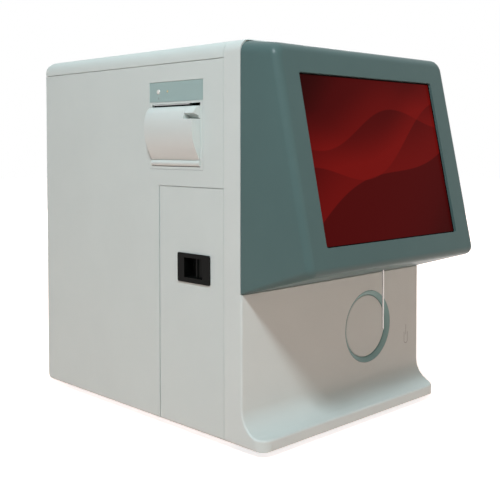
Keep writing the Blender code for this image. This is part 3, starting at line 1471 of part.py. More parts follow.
def aspirate_key():
    """The conical ring, the round key inside it, and the guide behind."""
    lip = RING_RADIUS - RING_LAND
    skirt_end = RING_SKIRT_LENGTH
    flange_front = HOUSING_WALL + GAP
    ring = [
        (RING_RADIUS, 0.0),
        (RING_RADIUS, flange_front),
        (RING_RADIUS + RING_FLANGE, flange_front),
        (RING_RADIUS + RING_FLANGE, flange_front + RING_FLANGE_THICKNESS),
        (RING_SKIRT_RADIUS, flange_front + RING_FLANGE_THICKNESS),
        (RING_SKIRT_RADIUS, skirt_end),
        (RING_INNER_RADIUS, skirt_end),
        (RING_INNER_RADIUS, KEY_RECESS),
        (lip, 0.0),
    ]
    middle = (KEY_X, 0, KEY_Z)
    part("key_ring", turned(ring, middle, "Y", FINE_STEPS), "teal_trim", smooth=True)
    guide_start = skirt_end + GAP
    guide_end = guide_start + GUIDE_THICKNESS
    boss_end = guide_end + GUIDE_BOSS_LENGTH
    bore = KEY_STEM_RADIUS + SLIDE_GAP
    guide = [
        (RING_SKIRT_RADIUS, guide_start),
        (RING_SKIRT_RADIUS, guide_end),
        (GUIDE_BOSS_RADIUS, guide_end),
        (GUIDE_BOSS_RADIUS, boss_end),
        (bore, boss_end),
        (bore, guide_start),
    ]
    part("key_guide", turned(guide, middle, "Y"), "black_plastic", smooth=True)
    back = KEY_RECESS + KEY_THICKNESS
    stem_end = boss_end + KEY_TRAVEL
    key = [
        (0.0, KEY_RECESS),
        (KEY_RADIUS - KEY_EDGE_RADIUS, KEY_RECESS),
        (KEY_RADIUS, KEY_RECESS + KEY_EDGE_RADIUS),
        (KEY_RADIUS, back),
        (KEY_STEM_RADIUS, back),
        (KEY_STEM_RADIUS, stem_end),
        (0.0, stem_end),
    ]
    place = (KEY_X, KEY_RECESS, KEY_Z)
    joint_empty("key_axis", place)
    mesh = turned(key, middle, "Y", FINE_STEPS)
    part("aspirate_key", mesh, "white_moulding", place, "key_axis", smooth=True)


def lift_bracket():
    """The sheet behind the display that carries the probe's lift."""
    back = BACK_RIM
    face = back - LIFT_SHEET
    plate = block((LIFT_LEFT, face, LIFT_BOTTOM), (LIFT_RIGHT, back, LIFT_TOP))
    ears = []
    for bottom in (LIFT_BOTTOM, LIFT_TOP - LIFT_SHEET):
        high = (LIFT_RIGHT, face + WELD, bottom + LIFT_SHEET)
        ears.append(block((LIFT_LEFT, LIFT_EAR_FRONT, bottom), high))
    pin_front = PULLEY_Y - PULLEY_WIDTH / 2 - GAP
    pin_radius = PULLEY_BORE_RADIUS - GAP
    pin = rod(pin_radius, pin_front, face + WELD, (PULLEY_X, 0, PULLEY_LOW), "Y")
    hole_top = LIFT_BOTTOM + LIFT_SHEET + OVERRUN
    hole_radius = PROBE_RADIUS + PROBE_CLEARANCE
    probe_hole = rod(hole_radius, LIFT_BOTTOM - OVERRUN, hole_top, (PROBE_X, PROBE_Y, 0))
    shaft_hole = rod(SHAFT_RADIUS + OVERRUN, face - OVERRUN, back + OVERRUN, (PULLEY_X, 0, PULLEY_HIGH), "Y")
    bracket = cut(join(plate, *ears, pin), probe_hole, shaft_hole)
    part("lift_bracket", bracket, "zinc_sheet")


def lift_guides():
    """The two guide rods and the wash block round the probe."""
    low = LIFT_BOTTOM + LIFT_SHEET + GAP
    high = LIFT_TOP - LIFT_SHEET - GAP
    for side, x in zip(("left", "right"), ROD_X_PLACES):
        part(f"guide_rod_{side}", rod(ROD_RADIUS, low, high, (x, ROD_Y, 0)), "steel", smooth=True)
    body = block(
        (PROBE_X - WASH_HALF_WIDTH, PROBE_Y - WASH_HALF_WIDTH, low),
        (PROBE_X + WASH_HALF_WIDTH, PROBE_Y + WASH_HALF_WIDTH, low + WASH_HEIGHT),
    )
    bore = rod(WASH_BORE_RADIUS, low - OVERRUN, low + WASH_HEIGHT + OVERRUN, (PROBE_X, PROBE_Y, 0))
    part("wash_block", cut(body, bore), "clear_plastic")


def probe_carriage():
    """The slide on the guide rods and the steel probe that it holds."""
    top = CARRIAGE_BOTTOM + CARRIAGE_HEIGHT
    right = PULLEY_X - PULLEY_RADIUS - GAP - BELT_THICKNESS - GAP
    body = block((CARRIAGE_LEFT, CARRIAGE_FRONT, CARRIAGE_BOTTOM), (right, CARRIAGE_REAR, top))
    bores = []
    for x in ROD_X_PLACES:
        bores.append(rod(ROD_RADIUS + GAP, CARRIAGE_BOTTOM - OVERRUN, top + OVERRUN, (x, ROD_Y, 0)))
    bores.append(rod(PROBE_RADIUS + GAP, CARRIAGE_BOTTOM - OVERRUN, top + OVERRUN, (PROBE_X, PROBE_Y, 0)))
    place = (PROBE_X, PROBE_Y, CARRIAGE_BOTTOM)
    joint_empty("probe_axis", place)
    part("probe_carriage", cut(body, merged(*bores)), "black_plastic", place, "probe_axis")
    head_bottom = top + GAP
    profile = [
        (0.0, head_bottom + PROBE_HEAD_HEIGHT),
        (PROBE_HEAD_RADIUS, head_bottom + PROBE_HEAD_HEIGHT),
        (PROBE_HEAD_RADIUS, head_bottom),
        (PROBE_RADIUS, head_bottom),
        (PROBE_RADIUS, PROBE_TIP + PROBE_RADIUS),
        (PROBE_RADIUS * PROBE_TIP_SHARE, PROBE_TIP),
        (0.0, PROBE_TIP),
    ]
    mesh = turned(profile, (PROBE_X, PROBE_Y, 0), "Z", SMALL_STEPS)
    part("sample_probe", mesh, "steel", place, "probe_axis", smooth=True)


def lift_drive():
    """Motor, belt and the two pulleys that raise the probe."""
    front = REBATE_DEPTH + HOUSING_WALL + GAP
    half = MOTOR_SIZE / 2
    middle = (PULLEY_X, 0, PULLEY_HIGH)
    outline = rectangle(
        PULLEY_X - half, PULLEY_HIGH - half, PULLEY_X + half, PULLEY_HIGH + half, MOTOR_CORNER, 2
    )
    motor = prism(outline, "Y", front, front + MOTOR_LENGTH)
    bore = rod(SHAFT_RADIUS + SLIDE_GAP, front - OVERRUN, front + SHAFT_ENTRY + SLIDE_GAP, middle, "Y")
    part("lift_motor", cut(motor, bore), "black_plastic")
    high = PULLEY_Y + PULLEY_WIDTH / 2
    low = PULLEY_Y - PULLEY_WIDTH / 2
    flange = (PULLEY_WIDTH - BELT_WIDTH) / 2 - GAP
    rim = PULLEY_RADIUS + PULLEY_FLANGE
    grooved = [
        (rim, high),
        (rim, high - flange),
        (PULLEY_RADIUS, high - flange),
        (PULLEY_RADIUS, low + flange),
        (rim, low + flange),
        (rim, low),
    ]
    shaft_end = front + SHAFT_ENTRY
    drive = [(0.0, shaft_end), (SHAFT_RADIUS, shaft_end), (SHAFT_RADIUS, high), *grooved, (0.0, low)]
    joint_empty("drive_axis", (PULLEY_X, PULLEY_Y, PULLEY_HIGH))
    place = (PULLEY_X, PULLEY_Y, PULLEY_HIGH)
    part("drive_pulley", turned(drive, middle, "Y"), "steel", place, "drive_axis", smooth=True)
    idler = [(PULLEY_BORE_RADIUS, high), *grooved, (PULLEY_BORE_RADIUS, low)]
    place = (PULLEY_X, PULLEY_Y, PULLEY_LOW)
    joint_empty("idler_axis", place)
    mesh = turned(idler, (PULLEY_X, 0, PULLEY_LOW), "Y")
    part("idler_pulley", mesh, "steel", place, "idler_axis", smooth=True)
    inner = PULLEY_RADIUS + GAP
    outer = inner + BELT_THICKNESS
    belt = cut(
        prism(belt_loop(outer), "Y", PULLEY_Y - BELT_WIDTH / 2, PULLEY_Y + BELT_WIDTH / 2),
        prism(belt_loop(inner), "Y", PULLEY_Y - BELT_WIDTH, PULLEY_Y + BELT_WIDTH),
    )
    part("lift_belt", belt, "rubber")


def belt_loop(radius):
    """The outline of a loop round both pulleys, as (x, z)."""
    steps = SMALL_STEPS // 2
    upper = arc((PULLEY_X, PULLEY_HIGH), radius, 0, 180, steps)
    lower = arc((PULLEY_X, PULLEY_LOW), radius, 180, 360, steps)
    return upper + lower


def syringe():
    """The sample syringe, the drive that holds it, and the plunger that moves."""
    wall = CHASSIS_LEFT - GAP
    barrel_top = SYRINGE_BOTTOM + SYRINGE_BARREL_LENGTH
    cap = SYRINGE_BLOCK / 3
    middle = (SYRINGE_X, SYRINGE_Y, 0)
    barrel = [
        (0.0, barrel_top),
        (SYRINGE_BARREL_RADIUS, barrel_top),
        (SYRINGE_BARREL_RADIUS, SYRINGE_BOTTOM),
        (SYRINGE_BORE_RADIUS, SYRINGE_BOTTOM),
        (SYRINGE_BORE_RADIUS, barrel_top - cap),
        (0.0, barrel_top - cap),
    ]
    part("syringe_barrel", turned(barrel, middle, "Z", CUP_STEPS), "clear_plastic", smooth=True)
    half = SYRINGE_BARREL_RADIUS + HOLDER_WALL
    spine_left = SYRINGE_X + half
    holders = []
    for z in (SYRINGE_BOTTOM, barrel_top - SYRINGE_BLOCK):
        low = (SYRINGE_X - half, SYRINGE_Y - half, z)
        holders.append(block(low, (spine_left + OVERRUN, SYRINGE_Y + half, z + SYRINGE_BLOCK)))
    spine = block((spine_left, SYRINGE_Y - half, SYRINGE_BOTTOM), (wall, SYRINGE_Y + half, barrel_top))
    seat = SYRINGE_BARREL_RADIUS + GAP
    bore = rod(seat, SYRINGE_BOTTOM - OVERRUN, barrel_top + OVERRUN, middle, "Z", CUP_STEPS)
    motor_low_y = SYRINGE_Y + half
    motor_y = motor_low_y + MOTOR_SIZE / 2
    motor = block(
        (wall - MOTOR_SIZE, motor_low_y - OVERRUN, SYRINGE_BOTTOM),
        (wall, motor_low_y + MOTOR_SIZE, SYRINGE_BOTTOM + MOTOR_LENGTH),
    )
    screw_x = wall - MOTOR_SIZE / 2
    screw_radius = SYRINGE_ROD_RADIUS
    tall = SYRINGE_BOTTOM + MOTOR_LENGTH + OVERRUN
    motor_bore = rod(screw_radius + SLIDE_GAP, SYRINGE_BOTTOM - OVERRUN, tall, (screw_x, motor_y, 0))
    part("syringe_drive", cut(join(spine, motor, *holders), bore, motor_bore), "black_plastic")
    piston_top = barrel_top - cap - SEAM
    piston_bottom = piston_top - SYRINGE_BLOCK / 2
    yoke_top = SYRINGE_BOTTOM - SYRINGE_BLOCK
    piston = [
        (0.0, piston_top),
        (SYRINGE_PLUNGER_RADIUS, piston_top),
        (SYRINGE_PLUNGER_RADIUS, piston_bottom),
        (SYRINGE_ROD_RADIUS, piston_bottom),
        (SYRINGE_ROD_RADIUS, yoke_top - WELD),
        (0.0, yoke_top - WELD),
    ]
    yoke = block(
        (SYRINGE_X - SYRINGE_BLOCK / 2, SYRINGE_Y - SYRINGE_BLOCK / 2, yoke_top - SYRINGE_BLOCK),
        (screw_x + SYRINGE_BLOCK / 2, motor_y + SYRINGE_BLOCK / 2, yoke_top),
    )
    screw_top = SYRINGE_BOTTOM + MOTOR_LENGTH
    screw = rod(screw_radius, yoke_top - OVERRUN, screw_top, (screw_x, motor_y, 0))
    place = (SYRINGE_X, SYRINGE_Y, yoke_top)
    joint_empty("syringe_axis", place)
    plunger = join(yoke, turned(piston, middle, "Z", SMALL_STEPS), screw)
    part("syringe_plunger", plunger, "steel", place, "syringe_axis")


def counting_bath():
    """The moulded block with the two open counting cups and their drains."""
    wall = CHASSIS_LEFT - GAP
    shelf_bottom = BATH_BOTTOM + BATH_HEIGHT / 2
    shelf_top = shelf_bottom + BATH_SHELF
    top = BATH_BOTTOM + BATH_HEIGHT
    reach = BATH_RADIUS + BATH_WALL
    low = (BATH_X - reach, BATH_Y_PLACES[0] - reach, shelf_bottom)
    high = (wall, BATH_Y_PLACES[-1] + reach, shelf_top)
    bath = block(low, high)
    inner = BATH_RADIUS - BATH_WALL
    drain_bottom = BATH_BOTTOM - BATH_DRAIN_LENGTH
    for y in BATH_Y_PLACES:
        outside = [
            (0.0, top),
            (BATH_RADIUS, top),
            (BATH_RADIUS, BATH_BOTTOM + BATH_WALL),
            (BATH_DRAIN_RADIUS, BATH_BOTTOM),
            (BATH_DRAIN_RADIUS, drain_bottom),
            (0.0, drain_bottom),
        ]
        inside = [
            (0.0, top + OVERRUN),
            (inner, top + OVERRUN),
            (inner, BATH_BOTTOM + BATH_WALL + BATH_WALL),
            (BATH_DRAIN_BORE, BATH_BOTTOM + BATH_WALL),
            (BATH_DRAIN_BORE, drain_bottom - OVERRUN),
            (0.0, drain_bottom - OVERRUN),
        ]
        bath = join(bath, turned(outside, (BATH_X, y, 0), "Z", CUP_STEPS))
        bath = cut(bath, turned(inside, (BATH_X, y, 0), "Z", CUP_STEPS))
    part("counting_bath", bath, "clear_plastic")


def valve_bank():
    """The manifold on the chassis and the solenoid valves on it."""
    wall = CHASSIS_LEFT - GAP
    half = VALVE_PITCH / 2
    last_y = VALVE_FIRST_Y + (VALVE_COUNT - 1) * VALVE_PITCH
    low = (wall - MANIFOLD_DEPTH, VALVE_FIRST_Y - half, VALVE_HEIGHT - MANIFOLD_HEIGHT / 2)
    high = (wall, last_y + half, VALVE_HEIGHT + MANIFOLD_HEIGHT / 2)
    part("valve_manifold", block(low, high), "clear_plastic")
    start = low[0] - GAP
    valves = []
    for index in range(VALVE_COUNT):
        y = VALVE_FIRST_Y + index * VALVE_PITCH
        profile = [
            (0.0, start - VALVE_RAIL / 2),
            (VALVE_RADIUS, start - VALVE_RAIL / 2),
            (VALVE_RADIUS, start - VALVE_LENGTH),
            (VALVE_RADIUS / 2, start - VALVE_LENGTH),
            (VALVE_RADIUS / 2, start - VALVE_LENGTH - VALVE_RAIL),
            (0.0, start - VALVE_LENGTH - VALVE_RAIL),
        ]
        valves.append(turned(profile, (0, y, VALVE_HEIGHT), "X", TINY_STEPS))
    rail = block(
        (start - VALVE_RAIL, VALVE_FIRST_Y - half, VALVE_HEIGHT - MANIFOLD_HEIGHT / 2),
        (start, last_y + half, VALVE_HEIGHT + MANIFOLD_HEIGHT / 2),
    )
    part("solenoid_valves", join(rail, *valves), "steel")


def vacuum_pump():
    """The motor and head that empty the baths, on the chassis."""
    wall = CHASSIS_LEFT - GAP
    half = PUMP_MOTOR_RADIUS + HOLDER_WALL
    head_left = wall - PUMP_MOTOR_LENGTH - PUMP_HEAD_DEPTH
    head = block(
        (head_left, PUMP_Y - half, PUMP_Z - half),
        (head_left + PUMP_HEAD_DEPTH, PUMP_Y + half, PUMP_Z + half),
    )
    low = head_left + PUMP_HEAD_DEPTH - OVERRUN
    motor = rod(PUMP_MOTOR_RADIUS, low, wall, (0, PUMP_Y, PUMP_Z), "X", CUP_STEPS)
    ports = []
    x = head_left + PUMP_HEAD_DEPTH / 2
    for side in (-1, 1):
        centre = (x, PUMP_Y + side * half / 2, 0)
        ports.append(rod(PORT_BARB_RADIUS, PUMP_Z, PUMP_Z + half + PORT_LENGTH, centre))
    part("vacuum_pump", join(head, motor, merged(*ports)), "black_plastic")


def main_board():
    """The main board on its standoffs, with its larger chips."""
    face = CHASSIS_X + GAP
    board_low = face + BOARD_STANDOFF
    board = block(
        (board_low, BOARD_FRONT, BOARD_BOTTOM),
        (board_low + BOARD_THICKNESS, BOARD_REAR, BOARD_TOP),
    )
    inset = STANDOFF_RADIUS * 2
    standoffs = []
    for y in (BOARD_FRONT + inset, BOARD_REAR - inset):
        for z in (BOARD_BOTTOM + inset, BOARD_TOP - inset):
            end = board_low + BOARD_THICKNESS / 2
            standoffs.append(rod(STANDOFF_RADIUS, face, end, (0, y, z), "X", TINY_STEPS))
    chips = []
    length = BOARD_REAR - BOARD_FRONT
    height = BOARD_TOP - BOARD_BOTTOM
    for y_share, z_share, size_share in BOARD_CHIP_SHARES:
        half = height * size_share / 2
        y = BOARD_FRONT + length * y_share
        z = BOARD_BOTTOM + height * z_share
        low = (board_low + BOARD_THICKNESS / 2, y - half, z - half)
        chips.append(block(low, (board_low + BOARD_THICKNESS + CHIP_HEIGHT, y + half, z + half)))
    part("main_board", join(board, merged(*standoffs), merged(*chips)), "board_green")


def power_supply():
    """The closed supply box on the base plate."""
    low = (SUPPLY_LEFT, SUPPLY_FRONT, BASE_TOP + GAP)
    high = (SUPPLY_RIGHT, SUPPLY_REAR, BASE_TOP + GAP + SUPPLY_HEIGHT)
    part("power_supply", block(low, high), "zinc_sheet")


def fan():
    """The exhaust fan: frame on the rear panel, rotor and outside guard."""
    rear = REAR_INNER - GAP
    front = rear - FAN_DEPTH
    half = FAN_SIZE / 2
    middle = (FAN_X, 0, FAN_Z)
    body = block((FAN_X - half, front, FAN_Z - half), (FAN_X + half, rear, FAN_Z + half))
    duct = rod(FAN_DUCT_RADIUS, front - OVERRUN, rear + OVERRUN, middle, "Y")
    mount = rod(FAN_HUB_RADIUS, front, front + FAN_SPIDER, middle, "Y", SMALL_STEPS)
    arms = []
    for index in range(FAN_ARMS):
        arm = block(
            (-FAN_SPIDER / 2, front, FAN_HUB_RADIUS / 2),
            (FAN_SPIDER / 2, front + FAN_SPIDER, FAN_DUCT_RADIUS + OVERRUN),
        )
        turn = Matrix.Rotation(math.tau * index / FAN_ARMS, 4, "Y")
        arm.transform(Matrix.Translation(middle) @ turn)
        arms.append(arm)
    part("fan_frame", join(cut(body, duct), mount, *arms), "black_plastic")
    hub_front = front + FAN_SPIDER + SLIDE_GAP
    hub_rear = rear - SLIDE_GAP
    rotor = rod(FAN_HUB_RADIUS, hub_front, hub_rear, middle, "Y", CUP_STEPS)
    blades = []
    depth_middle = (hub_front + hub_rear) / 2
    for index in range(FAN_BLADES):
        blade = block(
            (-FAN_BLADE_THICKNESS / 2, -FAN_BLADE_CHORD / 2, FAN_HUB_RADIUS / 2),
            (FAN_BLADE_THICKNESS / 2, FAN_BLADE_CHORD / 2, FAN_DUCT_RADIUS - FAN_TIP_GAP),
        )
        pitch = Matrix.Rotation(FAN_PITCH, 4, "Z")
        turn = Matrix.Rotation(math.tau * index / FAN_BLADES, 4, "Y")
        blade.transform(Matrix.Translation((FAN_X, depth_middle, FAN_Z)) @ turn @ pitch)
        blades.append(blade)
    place = (FAN_X, depth_middle, FAN_Z)
    joint_empty("fan_axis", place)
    part("fan_rotor", join(rotor, *blades), "black_plastic", place, "fan_axis")
    guard_front = REAR_DEPTH + GAP
    guard_rear = guard_front + GUARD_WIRE
    rings = []
    for index in range(GUARD_RINGS):
        outer = FAN_DUCT_RADIUS * (index + 1) / GUARD_RINGS
        inner = outer - GUARD_WIRE
        profile = [(outer, guard_rear), (outer, guard_front), (inner, guard_front), (inner, guard_rear)]
        rings.append(turned(profile, middle, "Y", CUP_STEPS))
    reach = FAN_SIZE / 2
    bars = []
    for index in range(2):
        bar = block((-GUARD_WIRE / 2, guard_front, -reach), (GUARD_WIRE / 2, guard_rear, reach))
        bar.transform(Matrix.Translation(middle) @ Matrix.Rotation(math.pi / 4 + math.pi / 2 * index, 4, "Y"))
        bars.append(bar)
    part("fan_guard", join(bars[0], bars[1], *rings), "steel")


def power_inlet():
    """The mains inlet with its three blades and the switch's frame beside it."""
    start = REAR_DEPTH + GAP
    half_width = INLET_WIDTH / 2
    half_height = INLET_HEIGHT / 2
    low = (INLET_X - half_width, INLET_Z - half_height)
    high = (INLET_X + half_width, INLET_Z + half_height)
    plate = rectangle(*low, *high, INLET_CORNER, 2)
    flange = prism(plate, "Y", start, start + INLET_FLANGE)
    body = prism(inlet_body_outline(0.0), "Y", start - INLET_DEPTH, start + INLET_FLANGE / 2)
    face = start + INLET_FLANGE
    socket_x = INLET_X - half_width / 2
    socket = block(
        (socket_x - SOCKET_WIDTH / 2 + INLET_SHIFT, face - SOCKET_DEPTH, INLET_Z - SOCKET_HEIGHT / 2),
        (socket_x + SOCKET_WIDTH / 2 + INLET_SHIFT, face + OVERRUN, INLET_Z + SOCKET_HEIGHT / 2),
    )
    pocket_half_width = ROCKER_WIDTH / 2 + SLIDE_GAP
    pocket_half_height = ROCKER_HEIGHT / 2 + SLIDE_GAP + GAP
    pocket = block(
        (ROCKER_X - pocket_half_width, face - ROCKER_POCKET, INLET_Z - pocket_half_height),
        (ROCKER_X + pocket_half_width, face + OVERRUN, INLET_Z + pocket_half_height),
    )
    blades = []
    for index, rise in ((-1, 0.0), (0, BLADE_RISE), (1, 0.0)):
        x = socket_x + INLET_SHIFT + index * BLADE_PITCH
        low = (x - BLADE_THICKNESS / 2, face - SOCKET_DEPTH - OVERRUN, INLET_Z + rise - BLADE_WIDTH / 2)
        blades.append(block(low, (x + BLADE_THICKNESS / 2, low[1] + BLADE_LENGTH, low[2] + BLADE_WIDTH)))
    inlet = join(cut(join(flange, body), socket, pocket), merged(*blades))
    part("power_inlet", inlet, "black_plastic")


def power_rocker():
    """The mains switch, tipped one way at rest."""
    y = REAR_DEPTH + GAP + INLET_FLANGE
    half = ROCKER_HEIGHT / 2 - SLIDE_GAP
    crest = ROCKER_PROUD / 2
    outline = [
        (-ROCKER_PROUD, -half),
        (ROCKER_PROUD / 4, -half),
        (crest, 0.0),
        (ROCKER_PROUD / 4, half),
        (-ROCKER_PROUD, half),
    ]
    mesh = prism(outline, "X", -ROCKER_WIDTH / 2, ROCKER_WIDTH / 2)
    place = Vector((ROCKER_X, y, INLET_Z))
    mesh.transform(Matrix.Translation(place) @ Matrix.Rotation(-ROCKER_SWING / 2, 4, "X"))
    joint_empty("rocker_axis", place)
    part("power_rocker", mesh, "black_plastic", place, "rocker_axis")


def rear_ports():
    """The reagent fittings and the block of data sockets."""
    start = REAR_DEPTH + GAP
    half_width = PORT_PLATE_WIDTH / 2
    half_height = PORT_PLATE_HEIGHT / 2
    low = (PORT_PLATE_X - half_width, start, PORT_PLATE_Z - half_height)
    plate = block(low, (PORT_PLATE_X + half_width, start + INLET_FLANGE, PORT_PLATE_Z + half_height))
    face = start + INLET_FLANGE
    neck = PORT_BARB_RADIUS * PORT_NECK_SHARE
    barb = face + PORT_LENGTH * PORT_BARB_SHARE
    shoulder = face + PORT_LENGTH * PORT_SHOULDER_SHARE
    fittings = []
    bores = []
    for index in range(PORT_COUNT):
        x = PORT_PLATE_X + (index - (PORT_COUNT - 1) / 2) * PORT_PITCH
        middle = (x, 0, PORT_PLATE_Z)
        profile = [
            (0.0, face + PORT_LENGTH),
            (neck, face + PORT_LENGTH),
            (PORT_BARB_RADIUS, barb),
            (neck, barb),
            (neck, shoulder),
            (PORT_RADIUS, shoulder),
            (PORT_RADIUS, face - WELD),
            (0.0, face - WELD),
        ]
        fittings.append(turned(profile, middle, "Y", TINY_STEPS))
        bores.append(rod(PORT_BORE_RADIUS, face, face + PORT_LENGTH + OVERRUN, middle, "Y", TINY_STEPS))
    part("reagent_ports", cut(join(plate, merged(*fittings)), merged(*bores)), "black_plastic")
    half_width = DATA_WIDTH / 2
    half_height = DATA_HEIGHT / 2
    body = block(
        (DATA_X - half_width, REAR_DEPTH - DATA_DEPTH, DATA_Z - half_height),
        (DATA_X + half_width, REAR_DEPTH, DATA_Z + half_height),
    )
    sockets = []
    for place_share, width_share, height_share in DATA_SOCKET_SHARES:
        x = DATA_X + DATA_WIDTH * place_share
        width = DATA_WIDTH * width_share / 2
        height = DATA_HEIGHT * height_share / 2
        low = (x - width, REAR_DEPTH - DATA_POCKET_DEPTH, DATA_Z - height)
        sockets.append(block(low, (x + width, REAR_DEPTH + OVERRUN, DATA_Z + height)))
    part("data_ports", cut(body, merged(*sockets)), "steel")


def stand_on_origin():
    """Move the root so that the world origin lies under the middle of the whole object."""
    root = bpy.data.objects["analyzer_root"]
    bpy.context.view_layer.update()
    low = Vector((math.inf, math.inf, math.inf))
    high = Vector((-math.inf, -math.inf, -math.inf))
    for item in bpy.data.collections["hematology_analyzer"].objects:
        if item.type != "MESH":
            continue
        for vert in item.data.vertices:
            place = item.matrix_world @ vert.co
            low = Vector(map(min, low, place))
            high = Vector(map(max, high, place))
    middle = (low + high) / 2
    root.location -= Vector((middle.x, middle.y, low.z))
    bpy.context.view_layer.update()


def main():
    """Build every sub-part."""
    start_scene()
    root = bpy.data.objects.new("analyzer_root", None)
    bpy.data.collections["hematology_analyzer"].objects.link(root)
    front_housing()
    display_bezel()
    display_stack()
    top_cover()
    left_side_panel()
    right_side_panel()
    rear_panel()
    base_plate()
    rubber_feet()
    chassis_plate()
    side_door()
    door_hinge_rail()
    latch_frame()
    latch_slider()
    printer_frame()
    status_strip()
    status_board()
    printer_bay()
    paper_roll()
    print_mechanism()
    printer_cover()
    platen_roller()
    printer_lever()
    aspirate_key()
    lift_bracket()
    lift_guides()
    probe_carriage()
    lift_drive()
    syringe()
    counting_bath()
    valve_bank()
    vacuum_pump()
    main_board()
    power_supply()
    fan()
    power_inlet()
    power_rocker()
    rear_ports()
    stand_on_origin()


main()
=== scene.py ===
"""Looks of a bench-top blood cell analyzer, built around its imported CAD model."""

import math

import bmesh
import bpy
from mathutils import Matrix, Vector


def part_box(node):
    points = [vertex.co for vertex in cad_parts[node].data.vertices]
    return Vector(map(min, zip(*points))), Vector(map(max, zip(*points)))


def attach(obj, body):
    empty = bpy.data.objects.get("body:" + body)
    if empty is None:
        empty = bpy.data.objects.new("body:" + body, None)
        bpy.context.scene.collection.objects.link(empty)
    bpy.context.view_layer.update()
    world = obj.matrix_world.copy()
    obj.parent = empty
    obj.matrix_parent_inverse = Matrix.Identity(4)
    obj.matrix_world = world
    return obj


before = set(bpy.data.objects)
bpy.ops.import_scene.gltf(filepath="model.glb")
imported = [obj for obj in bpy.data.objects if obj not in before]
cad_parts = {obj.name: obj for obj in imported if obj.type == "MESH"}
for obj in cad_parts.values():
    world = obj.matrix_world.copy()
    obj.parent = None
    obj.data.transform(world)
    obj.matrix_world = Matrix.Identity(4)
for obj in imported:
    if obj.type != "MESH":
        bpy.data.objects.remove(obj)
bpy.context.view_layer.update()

bl_info = {
    "name": "Blood cell analyzer",
    "version": (1, 1, 0),
    "blender": (4, 5, 0),
    "location": "View3D > Sidebar > Analyzer",
    "description": "Finishes, fine details and a plain stage for a bench-top blood cell analyzer",
    "category": "Object",
}

MM = 0.001

# Where the case's own frame stands in the shared frame
BODY_ORIGIN = Vector((0.0055, -0.140208, 0.006))

# The display window in the case's own frame
FACE_TILT = math.radians(12.2)
WINDOW_SIZE = (0.2166, 0.1656)
WINDOW_START = Vector((-0.0019, -0.075813, 0.1945))

# The camera, solved from the straight edges of the case
CAMERA_PLACE = (-0.69435, -0.71395, 0.29348)
CAMERA_TURN = (math.radians(87.736), 0.0, math.radians(-44.616))
IMAGE_PIXELS = 500
FOCAL_PIXELS = 850.8
HORIZON_PIXEL = 179.4
SENSOR_WIDTH = 36.0

# How the CAD nodes are smoothed
WELD_DISTANCE = 0.00001
FLAT_ANGLE = math.radians(0.3)
SHARP_ANGLE = math.radians(40)

# Where a cloudy noise is taken as darkest and lightest
NOISE_SPREAD = (0.3, 0.7)

# The wave node turns 20 radians a unit
WAVE_RADIANS = 20
PAPER_RADIAN_MM = 0.9

# Places of the trim, in millimetres: the tube mark's in the case's own frame, the rest in the shared frame
SCREW_SIDES_MM = (-125.5, 136.5)
SCREW_HEIGHTS_MM = (35.7, 191.7, 358.7)
SCREW_TURN_STEP = math.radians(17)
PORT_SIDES_MM = (-113.0, -94.0, -75.0, -56.0)
PORT_HEIGHT_MM = 66.0
PORT_PLATE_MM = 205.8
PORT_RING_MM = {"inner": 4.8, "outer": 6.8, "height": 0.8}
TUBE_MARK_MM = (121.5, -0.05, 57.5)
FEED_MARK_DROP_MM = 4.0
PRINT_THICKNESS_MM = 0.03

# Outlines of the two printed marks, in millimetres
TUBE_WIDTH_MM = 7.0
TUBE_TOP_MM = 13.5
NEEDLE_ENDS_MM = (10.0, 22.0)
FEED_WEDGE_MM = ((-1.1, 0.9), (1.1, 0.9), (0.0, 2.4))
FEED_BAR_MM = ((-1.1, 0.0), (1.1, 0.0), (1.1, 0.5), (-1.1, 0.5))

# A pan head from its rim to its crown, and its cross recess, as parts of the head's radius and height
HEAD_PROFILE = ((1.0, 0.0), (1.0, 0.35), (0.93, 0.62), (0.80, 0.84), (0.62, 0.96), (0.50, 1.0))
HEAD_SIDES = 32
CROSS_ARM = 0.40
CROSS_HALF_WIDTH = 0.10
CROSS_TAPER = 0.6
CROSS_FLOOR = 0.35

RING_SIDES = 48
BEND_STEPS = 16

# The floor's half width, and how far from the middle its glow starts and stops growing, in metres
FLOOR_HALF_WIDTH = 6.0
FLOOR_FADE = (0.3, 1.2)
FLOOR_TOOTH_MM = 2.0

# Directions that a flat mark can face: the columns are its right, its up and its outward side
FACING_FRONT = Matrix(((1, 0, 0), (0, 0, -1), (0, 1, 0)))
FACING_LEFT = Matrix(((0, 0, -1), (-1, 0, 0), (0, 1, 0)))
FACING_REAR = Matrix(((-1, 0, 0), (0, 0, 1), (0, 1, 0)))


def linear(code):
    """An sRGB hex colour as linear values with an alpha of 1."""
    values = []
    for start in (0, 2, 4):
        value = int(code.lstrip("#")[start:start + 2], 16) / 255
        values.append(value / 12.92 if value <= 0.04045 else ((value + 0.055) / 1.055) ** 2.4)
    return (*values, 1.0)


def colour_setting(title, code, about):
    """A colour that a user may change."""
    return bpy.props.FloatVectorProperty(
        name=title, description=about, default=linear(code)[:3], min=0.0, max=1.0, subtype="COLOR",
    )


def length_setting(title, length_mm, about):
    """A length that a user may change."""
    return bpy.props.FloatProperty(
        name=title, description=about, default=length_mm * MM, min=0.0, unit="LENGTH", precision=5,
    )


def power_setting(title, watts, about):
    """The power of a lamp."""
    return bpy.props.FloatProperty(name=title, description=about, default=watts, min=0.0, unit="POWER")


